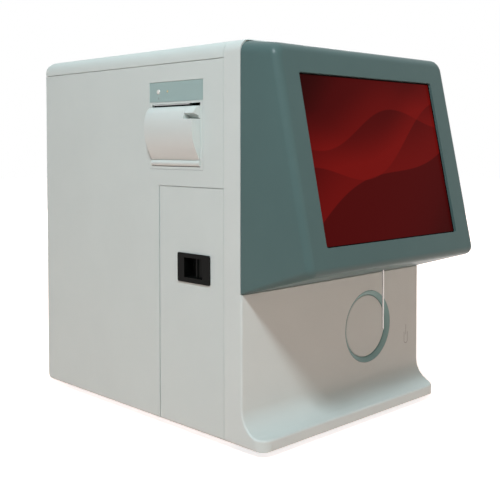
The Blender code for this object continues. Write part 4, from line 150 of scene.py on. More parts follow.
class AnalyzerFinishes(bpy.types.PropertyGroup):
    """Colours of the analyzer's mouldings, sheets and screen."""

    case_white: colour_setting("Case white", "#CFD8D5", "Moulded housing, printer frame and start key")
    sheet_white: colour_setting("Sheet white", "#CDD7D4", "Powder-coated panels, cover and door")
    bezel_teal: colour_setting("Bezel teal", "#4D6665", "Painted surround of the display")
    ring_teal: colour_setting("Ring teal", "#82A8A7", "Ring round the start key")
    strip_teal: colour_setting("Strip teal", "#98B1AF", "Film over the printer's lamp and button")
    latch_black: colour_setting("Latch black", "#030504", "Moulded latch, fan and inlet")
    screen_dark: colour_setting("Screen dark", "#0E0403", "Darkest part of the screen's design")
    screen_red: colour_setting("Screen red", "#460808", "Ground colour of the screen's design")
    screen_glow: colour_setting("Screen glow", "#70100D", "Lit edges in the screen's design")


class AnalyzerTrim(bpy.types.PropertyGroup):
    """Sizes of the fine trim."""

    moulded_edge: length_setting("Moulded edge", 0.35, "Width of the softened edges of mouldings")
    sheet_edge: length_setting("Sheet edge", 0.30, "Width of the softened edges of folded sheet")
    machined_edge: length_setting("Machined edge", 0.15, "Width of the broken edges of machined parts")
    screw_head_radius: length_setting("Screw head radius", 3.2, "Pan heads on the rear panel")
    screw_head_height: length_setting("Screw head height", 1.9, "Pan heads on the rear panel")
    screen_margin: length_setting("Screen margin", 0.8, "Dark edge between the window and the lit picture")
    mark_line: length_setting("Mark line", 0.55, "Line width of the sample tube mark")


class AnalyzerStage(bpy.types.PropertyGroup):
    """Lamps, floor and surroundings."""

    sky_strength: bpy.props.FloatProperty(
        name="Sky strength", description="How strongly the surroundings light the object", default=0.11, min=0.0,
    )
    sky_colour: colour_setting("Sky colour", "#F3F8FA", "Colour of the surroundings' light")
    key_power: power_setting("Key power", 39.0, "Lamp up on the left that draws the display's shadow")
    key_colour: colour_setting("Key colour", "#F0FAFF", "Colour of the key lamp")
    top_power: power_setting("Top power", 9.0, "Broad lamp overhead")
    top_colour: colour_setting("Top colour", "#F0FCF8", "Colour of the top lamp")
    side_power: power_setting("Side power", 1.0, "Broad lamp on the left")
    side_colour: colour_setting("Side colour", "#FFFFFF", "Colour of the side lamp")
    rear_power: power_setting("Rear power", 40.0, "Broad lamp behind on the right")
    rear_colour: colour_setting("Rear colour", "#FFFCF8", "Colour of the rear lamp")
    front_power: power_setting("Front power", 7.0, "Broad low lamp in front")
    front_colour: colour_setting("Front colour", "#FFDCC0", "Colour of the front lamp")
    floor_colour: colour_setting("Floor colour", "#FFDCD0", "Colour that the floor throws back onto the object")
    floor_glow: bpy.props.FloatProperty(
        name="Floor glow", description="How bright the floor looks where no lamp reaches it",
        default=0.80, min=0.0, max=1.0,
    )


def finishes():
    """The colours that are set."""
    return bpy.context.scene.analyzer_finishes


def trim():
    """The trim sizes that are set."""
    return bpy.context.scene.analyzer_trim


def add_node(tree, kind, settings=None, links=None):
    """Add a node, set its attributes and input values by name or place, and link its inputs."""
    made = tree.nodes.new(kind)
    for name, value in (settings or {}).items():
        if isinstance(name, str) and hasattr(made, name):
            setattr(made, name, value)
        else:
            made.inputs[name].default_value = value
    for name, source in (links or {}).items():
        socket = source.outputs[0] if isinstance(source, bpy.types.Node) else source
        tree.links.new(socket, made.inputs[name])
    return made


def add_ramp(tree, source, stops):
    """Add a colour ramp with the given (place, colour) stops."""
    made = add_node(tree, "ShaderNodeValToRGB", {}, {"Fac": source})
    elements = made.color_ramp.elements
    while len(elements) < len(stops):
        elements.new(0.5)
    for element, (place, colour) in zip(elements, stops):
        element.position = place
        element.color = colour
    return made


def new_material(title):
    """An empty node material with its output node."""
    made = bpy.data.materials.new(title)
    made.use_nodes = True
    made.node_tree.nodes.clear()
    output = add_node(made.node_tree, "ShaderNodeOutputMaterial")
    return made, made.node_tree, output


def shaded(colour, factor):
    """A colour made darker or lighter by a factor."""
    return tuple(min(1.0, channel * factor) for channel in colour[:3]) + (1.0,)


def finish_material(title, colour, grain_mm, settings):
    """A surface with a drifting tint, a grain in its bump and a gloss that follows the grain.

    settings holds tint (how far the colour drifts), rough (low, high), bump (grain height in mm) and
    shader (sockets set as they are). It may hold cloud_mm (size of the drift, else 60), stretch
    (grain scale per axis) and cells (a cell pattern in place of a cloudy grain).
    """
    made, tree, output = new_material(title)
    place = add_node(tree, "ShaderNodeTexCoord")
    stretched = add_node(
        tree, "ShaderNodeMapping", {"Scale": settings.get("stretch", (1.0, 1.0, 1.0))},
        {"Vector": place.outputs["Object"]},
    )
    clouds = add_node(
        tree, "ShaderNodeTexNoise",
        {"Scale": 1.0 / (settings.get("cloud_mm", 60.0) * MM), "Detail": 3.0, "Roughness": 0.55},
        {"Vector": place.outputs["Object"]},
    )
    if settings.get("cells"):
        grain = add_node(
            tree, "ShaderNodeTexVoronoi", {"Scale": 1.0 / (grain_mm * MM), "feature": "SMOOTH_F1"},
            {"Vector": stretched},
        ).outputs["Distance"]
    else:
        grain = add_node(
            tree, "ShaderNodeTexNoise", {"Scale": 1.0 / (grain_mm * MM), "Detail": 2.0, "Roughness": 0.5},
            {"Vector": stretched},
        ).outputs["Fac"]
    tint = settings["tint"]
    shades = (shaded(colour, 1 - tint), shaded(colour, 1 + tint))
    tinted = add_ramp(tree, clouds.outputs["Fac"], list(zip(NOISE_SPREAD, shades)))
    rough_low, rough_high = settings["rough"]
    rough = add_node(tree, "ShaderNodeMapRange", {"To Min": rough_low, "To Max": rough_high}, {"Value": grain})
    bump = add_node(tree, "ShaderNodeBump", {"Strength": 0.25, "Distance": settings["bump"] * MM}, {"Height": grain})
    shader = add_node(
        tree, "ShaderNodeBsdfPrincipled", settings["shader"],
        {"Base Color": tinted.outputs["Color"], "Roughness": rough.outputs["Result"], "Normal": bump},
    )
    tree.links.new(shader.outputs["BSDF"], output.inputs["Surface"])
    return made


def moulded_white_abs():
    # Injection-moulded ABS with a fine spark-eroded texture about 0.7 mm across: a soft, even satin
    return finish_material("moulded_white_abs", finishes().case_white, 0.7, {
        "tint": 0.015, "rough": (0.42, 0.54), "bump": 0.03, "shader": {"IOR": 1.53, "Specular IOR Level": 0.4},
    })


def smooth_white_abs():
    # ABS moulded in a polished tool: the case's white with a clear, bright sheen on its bulge
    return finish_material("smooth_white_abs", finishes().case_white, 0.9, {
        "tint": 0.01, "rough": (0.20, 0.27), "bump": 0.01, "shader": {"IOR": 1.53},
    })


def powder_coated_steel():
    # White powder coat on folded steel: a faint orange peel about 1.6 mm across and a low, even sheen
    return finish_material("powder_coated_steel", finishes().sheet_white, 1.6, {
        "tint": 0.015, "rough": (0.46, 0.58), "bump": 0.05, "shader": {"IOR": 1.50, "Specular IOR Level": 0.4},
    })


def painted_teal_abs():
    # Satin paint on ABS: grey-teal with a fine sprayed stipple, a touch glossier than the case
    return finish_material("painted_teal_abs", finishes().bezel_teal, 0.9, {
        "tint": 0.03, "rough": (0.31, 0.40), "bump": 0.05, "cloud_mm": 90.0,
        "shader": {"IOR": 1.50, "Specular IOR Level": 0.18},
    })


def moulded_teal_abs():
    # Through-coloured ABS ring with a moulded satin
    return finish_material("moulded_teal_abs", finishes().ring_teal, 0.6, {
        "tint": 0.03, "rough": (0.36, 0.46), "bump": 0.02, "shader": {"IOR": 1.53, "Specular IOR Level": 0.4},
    })


def printed_polyester_film():
    # Fine-grained polyester overlay printed on its back: a flat grey-green with a low sheen
    return finish_material("printed_polyester_film", finishes().strip_teal, 0.4, {
        "tint": 0.01, "rough": (0.34, 0.42), "bump": 0.01, "shader": {"IOR": 1.60, "Specular IOR Level": 0.4},
    })


def moulded_black_nylon():
    # Glass-filled nylon: near black, with a slightly mottled dull sheen
    return finish_material("moulded_black_nylon", finishes().latch_black, 0.8, {
        "tint": 0.12, "rough": (0.44, 0.60), "bump": 0.04, "shader": {"IOR": 1.53, "Specular IOR Level": 0.08},
    })


def zinc_plated_steel():
    # Bright passivated zinc on sheet: spangles some 5 mm across under broad grey clouds
    return finish_material("zinc_plated_steel", linear("#B4B9BC"), 5.0, {
        "tint": 0.12, "rough": (0.28, 0.46), "bump": 0.02, "cloud_mm": 14.0, "cells": True, "shader": {"Metallic": 1.0},
    })


def ground_stainless_steel():
    # Centreless-ground stainless bar: very fine rings round it and a bright line along it
    return finish_material("ground_stainless_steel", linear("#A4A6A5"), 0.5, {
        "tint": 0.03, "rough": (0.20, 0.32), "bump": 0.01, "stretch": (0.1, 0.1, 1.0), "shader": {"Metallic": 1.0},
    })


def pressed_stainless_steel():
    # Rolled stainless pressed to shape: a soft grey shine with a slight lengthwise grain
    return finish_material("pressed_stainless_steel", linear("#B9BBBB"), 0.6, {
        "tint": 0.05, "rough": (0.24, 0.36), "bump": 0.01, "stretch": (0.15, 1.0, 1.0), "shader": {"Metallic": 1.0},
    })


def bead_blasted_aluminium():
    # Anodised aluminium, bead-blasted first: a pale, even matt metal
    return finish_material("bead_blasted_aluminium", linear("#C3C6C8"), 0.5, {
        "tint": 0.03, "rough": (0.38, 0.50), "bump": 0.02, "cells": True, "shader": {"Metallic": 1.0},
    })


def nickel_plated_shell():
    # Drawn and nickel-plated connector shells: bright, slightly warm metal
    return finish_material("nickel_plated_shell", linear("#C9C5BC"), 1.0, {
        "tint": 0.05, "rough": (0.22, 0.34), "bump": 0.01, "shader": {"Metallic": 1.0},
    })


def nitrile_rubber():
    # Moulded black nitrile: matt, with a grey bloom in patches
    return finish_material("nitrile_rubber", linear("#222323"), 1.0, {
        "tint": 0.18, "rough": (0.72, 0.88), "bump": 0.04, "cloud_mm": 12.0, "shader": {"IOR": 1.52},
    })


def cast_acrylic():
    # Machined and polished acrylic: clear with a faint blue-green body and fine tool marks
    return finish_material("cast_acrylic", linear("#E4EFF0"), 1.2, {
        "tint": 0.02, "rough": (0.05, 0.14), "bump": 0.01, "stretch": (1.0, 1.0, 0.2),
        "shader": {"IOR": 1.49, "Transmission Weight": 0.85},
    })


def white_nylon_cap():
    # Small moulded button cap: brighter and smoother than the case
    return finish_material("white_nylon_cap", linear("#E2E3DF"), 0.5, {
        "tint": 0.01, "rough": (0.30, 0.38), "bump": 0.01, "shader": {"IOR": 1.53},
    })


def diffused_lens():
    # Milky epoxy lens of an indicator that is off
    return finish_material("diffused_lens", linear("#DAD8C6"), 0.5, {
        "tint": 0.01, "rough": (0.18, 0.26), "bump": 0.01,
        "shader": {"IOR": 1.54, "Subsurface Weight": 0.3, "Subsurface Scale": 0.002},
    })


def printed_grey_ink():
    # Pad-printed ink: a flat mid grey, a shade rougher than the moulding under it
    return finish_material("printed_grey_ink", linear("#8E9492"), 0.3, {
        "tint": 0.04, "rough": (0.52, 0.62), "bump": 0.005, "cloud_mm": 3.0, "shader": {"IOR": 1.50},
    })


def dyed_nylon(title, code):
    # Dyed nylon ring: a clear plain colour with a soft moulded sheen
    return finish_material(title, linear(code), 0.4, {
        "tint": 0.04, "rough": (0.36, 0.46), "bump": 0.01, "cloud_mm": 4.0, "shader": {"IOR": 1.53},
    })


def thermal_paper():
    # Coated paper wound on a core: bright and smooth, its ends ringed by faint bands where the winding
    # was tighter or looser, because the real 0.06 mm layers are too fine to show
    made, tree, output = new_material("thermal_paper")
    low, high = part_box("paper_roll")
    middle = (Vector(low) + Vector(high)) / 2
    place = add_node(tree, "ShaderNodeTexCoord")
    from_core = add_node(
        tree, "ShaderNodeMapping", {"vector_type": "TEXTURE", "Location": middle}, {"Vector": place.outputs["Object"]},
    )
    layers = add_node(
        tree, "ShaderNodeTexWave",
        {
            "wave_type": "RINGS", "rings_direction": "Y", "Scale": 1.0 / (WAVE_RADIANS * PAPER_RADIAN_MM * MM),
            "Distortion": 0.6, "Detail": 1.0,
        },
        {"Vector": from_core},
    )
    tinted = add_ramp(tree, layers.outputs["Fac"], [(0.1, linear("#D5D4CB")), (0.6, linear("#EFEFE9"))])
    bump = add_node(
        tree, "ShaderNodeBump", {"Strength": 0.3, "Distance": 0.05 * MM}, {"Height": layers.outputs["Fac"]},
    )
    shader = add_node(
        tree, "ShaderNodeBsdfPrincipled", {"Roughness": 0.52, "IOR": 1.50},
        {"Base Color": tinted.outputs["Color"], "Normal": bump},
    )
    tree.links.new(shader.outputs["BSDF"], output.inputs["Surface"])
    return made


def solder_masked_board():
    # Green solder mask over etched copper: traces some 1.4 mm apart show as paler lines
    made, tree, output = new_material("solder_masked_board")
    place = add_node(tree, "ShaderNodeTexCoord")
    turned = add_node(
        tree, "ShaderNodeMapping", {"Rotation": (math.radians(90), 0.0, math.radians(90))},
        {"Vector": place.outputs["Object"]},
    )
    traces = add_node(
        tree, "ShaderNodeTexBrick",
        {
            "Scale": 1.0 / (12 * MM), "Mortar Size": 0.014, "Color1": linear("#0E3F22"), "Color2": linear("#124A29"),
            "Mortar": linear("#2A7A48"), "Brick Width": 0.7, "Row Height": 0.12,
        },
        {"Vector": turned},
    )
    raised = add_node(
        tree, "ShaderNodeBump", {"Strength": 0.3, "Distance": 0.04 * MM}, {"Height": traces.outputs["Fac"]},
    )
    shader = add_node(
        tree, "ShaderNodeBsdfPrincipled", {"Roughness": 0.34, "IOR": 1.55},
        {"Base Color": traces.outputs["Color"], "Normal": raised},
    )
    tree.links.new(shader.outputs["BSDF"], output.inputs["Surface"])
    return made


def combine(tree, first, second, operation="ADD", third=None):
    """Add, multiply or otherwise combine two or three values, each a socket or a number."""
    values = {}
    links = {}
    for place, item in enumerate((first, second, third)):
        if isinstance(item, (int, float)):
            values[place] = item
        elif item is not None:
            links[place] = item
    return add_node(tree, "ShaderNodeMath", {"operation": operation, **values}, links).outputs[0]


def screen_ribbon(tree, across, up, course):
    """Brightness of one ribbon: crisp along a wavy line and fading away above it.

    course holds level, rise (level gained from left to right), swing and fade in screen heights, waves
    for each screen height, start in radians and weight.
    """
    angle = combine(tree, across, course["waves"] * math.tau, "MULTIPLY_ADD", course["start"])
    wave = combine(tree, combine(tree, angle, 0.0, "SINE"), course["swing"], "MULTIPLY_ADD", course["level"])
    line = combine(tree, across, course["rise"], "MULTIPLY_ADD", wave)
    above = combine(tree, up, line, "SUBTRACT")
    crisp = add_node(
        tree, "ShaderNodeMapRange", {"From Min": 0.0, "From Max": RIBBON_EDGE, "To Min": 0.0, "To Max": 1.0},
        {"Value": above},
    )
    fading = add_node(
        tree, "ShaderNodeMapRange",
        {"interpolation_type": "SMOOTHSTEP", "From Min": 0.0, "From Max": course["fade"], "To Min": 1.0, "To Max": 0.0},
        {"Value": above},
    )
    lit = combine(tree, crisp.outputs["Result"], fading.outputs["Result"], "MULTIPLY")
    return combine(tree, lit, course["weight"], "MULTIPLY")


# The screen's design, with lengths in screen heights
RIBBON_EDGE = 0.006
PICTURE_EDGE = 0.004
GROUND_GLOW = 0.17
LOWER_RIGHT_SHADE = {"From Min": 0.55, "From Max": 1.35, "To Min": 1.0, "To Max": 0.45}
UPPER_LEFT_SHADE = {"From Min": -0.95, "From Max": -0.35, "To Min": 0.25, "To Max": 1.0}
SCREEN_RIBBONS = (
    {"level": 0.08, "rise": 0.42, "swing": 0.10, "waves": 0.55, "start": 0.4, "fade": 0.42, "weight": 0.40},
    {"level": 0.34, "rise": 0.30, "swing": 0.13, "waves": 0.70, "start": 2.1, "fade": 0.30, "weight": 0.34},
    {"level": 0.62, "rise": 0.12, "swing": 0.09, "waves": 0.80, "start": 3.9, "fade": 0.26, "weight": 0.30},
)


def lit_display_glass():
    # Matted touch glass over a lit panel: deep reds glow in wavy ribbons through a low, soft reflection
    made, tree, output = new_material("lit_display_glass")
    place = add_node(tree, "ShaderNodeTexCoord")
    local = add_node(
        tree, "ShaderNodeMapping",
        {
            "vector_type": "TEXTURE",
            "Location": BODY_ORIGIN + WINDOW_START,
            "Rotation": (-FACE_TILT, 0.0, 0.0),
            "Scale": (WINDOW_SIZE[1], 1.0, WINDOW_SIZE[1]),
        },
        {"Vector": place.outputs["Object"]},
    )
    parts = add_node(tree, "ShaderNodeSeparateXYZ", {}, {"Vector": local})
    half_width = WINDOW_SIZE[0] / WINDOW_SIZE[1] / 2
    across = combine(tree, parts.outputs["X"], half_width)
    up = parts.outputs["Z"]
    level = GROUND_GLOW
    for course in SCREEN_RIBBONS:
        level = combine(tree, screen_ribbon(tree, across, up, course), level)
    lower_right = combine(tree, across, up, "SUBTRACT")
    for shade in (LOWER_RIGHT_SHADE, UPPER_LEFT_SHADE):
        held = add_node(
            tree, "ShaderNodeMapRange", {"interpolation_type": "SMOOTHSTEP", **shade}, {"Value": lower_right},
        )
        level = combine(tree, level, held, "MULTIPLY")
    dark = (*finishes().screen_dark, 1.0)
    picture = add_ramp(tree, level, [
        (0.0, dark), (0.12, (*finishes().screen_red, 1.0)), (0.75, (*finishes().screen_glow, 1.0)),
    ])
    margin = trim().screen_margin / WINDOW_SIZE[1]
    from_middle = combine(tree, parts.outputs["X"], 0.0, "ABSOLUTE")
    inside = None
    edges = ((from_middle, half_width - margin, -1.0), (up, margin, 1.0), (up, 1.0 - margin, -1.0))
    for value, limit, side in edges:
        held = add_node(
            tree, "ShaderNodeMapRange",
            {"From Min": limit, "From Max": limit + side * PICTURE_EDGE, "To Min": 0.0, "To Max": 1.0},
            {"Value": value},
        ).outputs["Result"]
        inside = held if inside is None else combine(tree, inside, held, "MULTIPLY")
    framed = add_node(
        tree, "ShaderNodeMix", {"data_type": "RGBA", 6: linear("#050303")},
        {0: inside, 7: picture.outputs["Color"]},
    )
    grain = add_node(
        tree, "ShaderNodeTexNoise", {"Scale": 1.0 / (0.6 * MM), "Detail": 2.0}, {"Vector": place.outputs["Object"]},
    )
    rough = add_node(tree, "ShaderNodeMapRange", {"To Min": 0.22, "To Max": 0.30}, {"Value": grain.outputs["Fac"]})
    shader = add_node(
        tree, "ShaderNodeBsdfPrincipled",
        {"Base Color": linear("#060202"), "IOR": 1.5, "Specular IOR Level": 0.01, "Emission Strength": 1.0},
        {"Emission Color": framed.outputs[2], "Roughness": rough.outputs["Result"]},
    )
    tree.links.new(shader.outputs["BSDF"], output.inputs["Surface"])
    return made


FINISHES = {
    "moulded_white_abs": moulded_white_abs,
    "smooth_white_abs": smooth_white_abs,
    "powder_coated_steel": powder_coated_steel,
    "painted_teal_abs": painted_teal_abs,
    "moulded_teal_abs": moulded_teal_abs,
    "printed_polyester_film": printed_polyester_film,
    "moulded_black_nylon": moulded_black_nylon,
    "zinc_plated_steel": zinc_plated_steel,
    "ground_stainless_steel": ground_stainless_steel,
    "pressed_stainless_steel": pressed_stainless_steel,
    "bead_blasted_aluminium": bead_blasted_aluminium,
    "nickel_plated_shell": nickel_plated_shell,
    "nitrile_rubber": nitrile_rubber,
    "thermal_paper": thermal_paper,
    "cast_acrylic": cast_acrylic,
    "white_nylon_cap": white_nylon_cap,
    "diffused_lens": diffused_lens,
    "printed_grey_ink": printed_grey_ink,
    "solder_masked_board": solder_masked_board,
    "lit_display_glass": lit_display_glass,
    "green_dyed_nylon": lambda: dyed_nylon("green_dyed_nylon", "#3E7F5A"),
    "blue_dyed_nylon": lambda: dyed_nylon("blue_dyed_nylon", "#3B6794"),
    "yellow_dyed_nylon": lambda: dyed_nylon("yellow_dyed_nylon", "#C9A93C"),
    "red_dyed_nylon": lambda: dyed_nylon("red_dyed_nylon", "#A33C35"),
}


def finish(title):
    """The material of that name, made on first use."""
    return bpy.data.materials.get(title) or FINISHES[title]()


def shading_group():
    """A geometry group that drops imported normals and keeps only edges over 40 degrees sharp."""
    title = "edges_by_angle"
    if title in bpy.data.node_groups:
        return bpy.data.node_groups[title]
    tree = bpy.data.node_groups.new(title, "GeometryNodeTree")
    tree.interface.new_socket("Geometry", in_out="INPUT", socket_type="NodeSocketGeometry")
    tree.interface.new_socket("Geometry", in_out="OUTPUT", socket_type="NodeSocketGeometry")
    source = add_node(tree, "NodeGroupInput")
    angle = add_node(tree, "GeometryNodeInputMeshEdgeAngle")
    sharp = add_node(
        tree, "FunctionNodeCompare", {"operation": "GREATER_THAN", 1: SHARP_ANGLE},
        {0: angle.outputs["Unsigned Angle"]},
    )
    normal = add_node(
        tree, "GeometryNodeSetMeshNormal", {"mode": "SHARPNESS", "Remove Custom": True},
        {"Mesh": source.outputs[0], "Edge Sharpness": sharp.outputs[0]},
    )
    add_node(tree, "NodeGroupOutput", {}, {0: normal.outputs["Mesh"]})
    return tree


def shade_by_angle(item):
    """Smooth shading with clean flats, by modifiers."""
    shading = item.modifiers.new("edges_by_angle", "NODES")
    shading.node_group = shading_group()
    weighted = item.modifiers.new("flat_normals", "WEIGHTED_NORMAL")
    weighted.keep_sharp = True


def dress(node, title, edge):
    """Give a CAD node its material, softly broken edges and clean shading."""
    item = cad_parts[node]
    item.data.materials.clear()
    item.data.materials.append(finish(title))
    weld = item.modifiers.new("weld", "WELD")
    weld.merge_threshold = WELD_DISTANCE
    flat = item.modifiers.new("flat_faces", "DECIMATE")
    flat.decimate_type = "DISSOLVE"
    flat.angle_limit = FLAT_ANGLE
    width = getattr(trim(), edge) if edge else 0.0
    if width:
        bevel = item.modifiers.new("broken_edges", "BEVEL")
        bevel.width = width
        bevel.segments = 2
        bevel.limit_method = "ANGLE"
        bevel.angle_limit = SHARP_ANGLE
        bevel.use_clamp_overlap = True
    shade_by_angle(item)


def dress_all(table):
    """Dress every CAD node of a table."""
    for node, (title, edge) in table.items():
        dress(node, title, edge)


CASE_NODES = {
    "front_housing": ("moulded_white_abs", "moulded_edge"),
    "top_cover": ("powder_coated_steel", "sheet_edge"),
    "left_side_panel": ("powder_coated_steel", "sheet_edge"),
    "right_side_panel": ("powder_coated_steel", "sheet_edge"),
    "rear_panel": ("powder_coated_steel", "sheet_edge"),
    "side_door": ("powder_coated_steel", "sheet_edge"),
    "door_hinge_rail": ("zinc_plated_steel", "machined_edge"),
    "base_plate": ("zinc_plated_steel", "machined_edge"),
    "chassis_plate": ("zinc_plated_steel", "machined_edge"),
    "foot_front_left": ("nitrile_rubber", "machined_edge"),
    "foot_front_right": ("nitrile_rubber", "machined_edge"),
    "foot_rear_left": ("nitrile_rubber", "machined_edge"),
    "foot_rear_right": ("nitrile_rubber", "machined_edge"),
}
DISPLAY_NODES = {
    "display_bezel": ("painted_teal_abs", "moulded_edge"),
    "touch_glass": ("lit_display_glass", None),
    "lcd_module": ("zinc_plated_steel", "machined_edge"),
    "display_bracket": ("zinc_plated_steel", "machined_edge"),
}
LATCH_NODES = {
    "latch_frame": ("moulded_black_nylon", "machined_edge"),
    "latch_slider": ("moulded_black_nylon", "machined_edge"),
}
PRINTER_NODES = {
    "printer_frame": ("smooth_white_abs", "moulded_edge"),
    "printer_cover": ("smooth_white_abs", "sheet_edge"),
    "printer_lever": ("smooth_white_abs", "machined_edge"),
    "status_strip": ("printed_polyester_film", None),
    "status_button": ("white_nylon_cap", "machined_edge"),
    "status_led": ("diffused_lens", None),
    "status_board": ("solder_masked_board", None),
    "printer_bay": ("moulded_black_nylon", "machined_edge"),
    "paper_roll": ("thermal_paper", None),
    "thermal_head": ("moulded_black_nylon", "machined_edge"),
    "tear_bar": ("pressed_stainless_steel", None),
    "platen_roller": ("nitrile_rubber", None),
}
KEY_NODES = {
    "key_ring": ("moulded_teal_abs", "machined_edge"),
    "aspirate_key": ("moulded_white_abs", "machined_edge"),
    "key_guide": ("moulded_black_nylon", "machined_edge"),
}
SAMPLING_NODES = {
    "lift_bracket": ("zinc_plated_steel", "machined_edge"),
    "guide_rod_left": ("ground_stainless_steel", None),
    "guide_rod_right": ("ground_stainless_steel", None),
    "wash_block": ("cast_acrylic", "machined_edge"),
    "probe_carriage": ("moulded_black_nylon", "machined_edge"),
    "sample_probe": ("ground_stainless_steel", None),
    "lift_motor": ("moulded_black_nylon", "sheet_edge"),
    "drive_pulley": ("bead_blasted_aluminium", None),
    "idler_pulley": ("bead_blasted_aluminium", None),
    "lift_belt": ("nitrile_rubber", None),
}
FLUID_NODES = {
    "syringe_barrel": ("cast_acrylic", None),
    "syringe_drive": ("moulded_black_nylon", "machined_edge"),
    "syringe_plunger": ("ground_stainless_steel", None),
    "counting_bath": ("cast_acrylic", "machined_edge"),
    "valve_manifold": ("cast_acrylic", "sheet_edge"),
    "solenoid_valves": ("pressed_stainless_steel", "machined_edge"),
    "vacuum_pump": ("moulded_black_nylon", "sheet_edge"),
    "reagent_ports": ("moulded_black_nylon", None),
}
POWER_NODES = {
    "main_board": ("solder_masked_board", None),
    "power_supply": ("bead_blasted_aluminium", "sheet_edge"),
    "fan_frame": ("moulded_black_nylon", "machined_edge"),
    "fan_rotor": ("moulded_black_nylon", "machined_edge"),
    "fan_guard": ("pressed_stainless_steel", None),
    "power_inlet": ("moulded_black_nylon", "machined_edge"),
    "power_rocker": ("moulded_black_nylon", "machined_edge"),
    "data_ports": ("nickel_plated_shell", None),
}


def place_piece(title, data, turn, place, body, material):
    """Put a mesh or curve at a place in the shared frame and let it ride on a body."""
    data.materials.append(finish(material))
    item = bpy.data.objects.new(title, data)
    item.matrix_world = Matrix.Translation(place) @ turn.to_4x4()
    bpy.context.scene.collection.objects.link(item)
    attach(item, body)
    return item


def ring_of_points(bm, radius, height, count):
    """A circle of vertices at a height."""
    angles = [math.tau * step / count for step in range(count)]
    return [bm.verts.new((radius * math.cos(angle), radius * math.sin(angle), height)) for angle in angles]


def join_rings(bm, low, high):
    """A band of faces between two rings of vertices."""
    for step in range(len(low)):
        after = (step + 1) % len(low)
        bm.faces.new((low[step], low[after], high[after], high[step]))


def closed_edges(bm, ring):
    """The edges round a ring, made where they are missing."""
    made = []
    for step in range(len(ring)):
        pair = (ring[step - 1], ring[step])
        made.append(bm.edges.get(pair) or bm.edges.new(pair))
    return made


def pan_head(title, radius, height):
    """A domed screw head with a tapered cross recess, its underside at nought."""
    bm = bmesh.new()
    rings = [ring_of_points(bm, radius * across, height * up, HEAD_SIDES) for across, up in HEAD_PROFILE]
    for low, high in zip(rings, rings[1:]):
        join_rings(bm, low, high)
    bm.faces.new(list(reversed(rings[0])))
    arm, half = CROSS_ARM * radius, CROSS_HALF_WIDTH * radius
    cross = (
        (arm, -half), (arm, half), (half, half), (half, arm), (-half, arm), (-half, half),
        (-arm, half), (-arm, -half), (-half, -half), (-half, -arm), (half, -arm), (half, -half),
    )
    mouth = [bm.verts.new((x, y, height)) for x, y in cross]
    floor = [bm.verts.new((CROSS_TAPER * x, CROSS_TAPER * y, CROSS_FLOOR * height)) for x, y in cross]
    bmesh.ops.triangle_fill(bm, edges=closed_edges(bm, rings[-1]) + closed_edges(bm, mouth), use_beauty=True)
    join_rings(bm, mouth, floor)
    bm.faces.new(floor)
    bmesh.ops.recalc_face_normals(bm, faces=bm.faces)
    mesh = bpy.data.meshes.new(title)
    bm.to_mesh(mesh)
    bm.free()
    return mesh


def marking_ring(title, inner, outer, height):
    """A flat ring with softened outer edges, its underside at nought."""
    bm = bmesh.new()
    soft = 0.3 * height
    profile = (
        (inner, 0.0), (outer, 0.0), (outer, height - soft), (outer - soft, height),
        (inner + soft, height), (inner, height - soft),
    )
    rings = [ring_of_points(bm, radius, up, RING_SIDES) for radius, up in profile]
    for step, low in enumerate(rings):
        join_rings(bm, low, rings[(step + 1) % len(rings)])
    bmesh.ops.recalc_face_normals(bm, faces=bm.faces)
    mesh = bpy.data.meshes.new(title)
    bm.to_mesh(mesh)
    bm.free()
    return mesh


def flat_mark(title, outlines):
    """A thin printed shape from closed outlines in millimetres."""
    data = bpy.data.curves.new(title, "CURVE")
    data.dimensions = "2D"
    data.fill_mode = "BOTH"
    data.extrude = PRINT_THICKNESS_MM * MM
    for outline in outlines:
        spline = data.splines.new("POLY")
        spline.points.add(len(outline) - 1)
        for point, (x, y) in zip(spline.points, outline):
            point.co = (x * MM, y * MM, 0.0, 1.0)
        spline.use_cyclic_u = True
    return data


def tube_outline(width, top, line):
    """Outline of an open sample tube's wall, its round bottom resting on nought."""
    outer = width / 2
    inner = outer - line
    bends = [math.pi + math.pi * step / BEND_STEPS for step in range(BEND_STEPS + 1)]
    outside = [(outer * math.cos(bend), outer + outer * math.sin(bend)) for bend in bends]
    inside = [(inner * math.cos(bend), outer + inner * math.sin(bend)) for bend in reversed(bends)]
    return [(-outer, top), *outside, (outer, top), (inner, top), *inside, (-inner, top)]


def dress_screw_heads():
    """Pan heads down both sides of the rear panel."""
    radius, height = trim().screw_head_radius, trim().screw_head_height
    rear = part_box("rear_panel")[1][1]
    for step, (x, z) in enumerate((x, z) for x in SCREW_SIDES_MM for z in SCREW_HEIGHTS_MM):
        title = f"rear_screw_{step + 1}"
        turn = FACING_REAR @ Matrix.Rotation(step * SCREW_TURN_STEP, 3, "Z")
        head = pan_head(title, radius, height)
        item = place_piece(title, head, turn, (x * MM, rear, z * MM), "case", "bead_blasted_aluminium")
        shade_by_angle(item)


class ANALYZER_OT_case(bpy.types.Operator):
    """Finish the housing, the folded panels, the door and the feet"""

    bl_idname = "analyzer.case"
    bl_label = "Case, door and feet"

    def execute(self, context):
        dress_all(CASE_NODES)
        return {"FINISHED"}


class ANALYZER_OT_display(bpy.types.Operator):
    """Finish the leaning display: painted surround, lit glass, panel and bracket"""

    bl_idname = "analyzer.display"
    bl_label = "Display"

    def execute(self, context):
        dress_all(DISPLAY_NODES)
        return {"FINISHED"}


class ANALYZER_OT_latch(bpy.types.Operator):
    """Finish the door's sliding latch"""

    bl_idname = "analyzer.latch"
    bl_label = "Door latch"

    def execute(self, context):
        dress_all(LATCH_NODES)
        return {"FINISHED"}


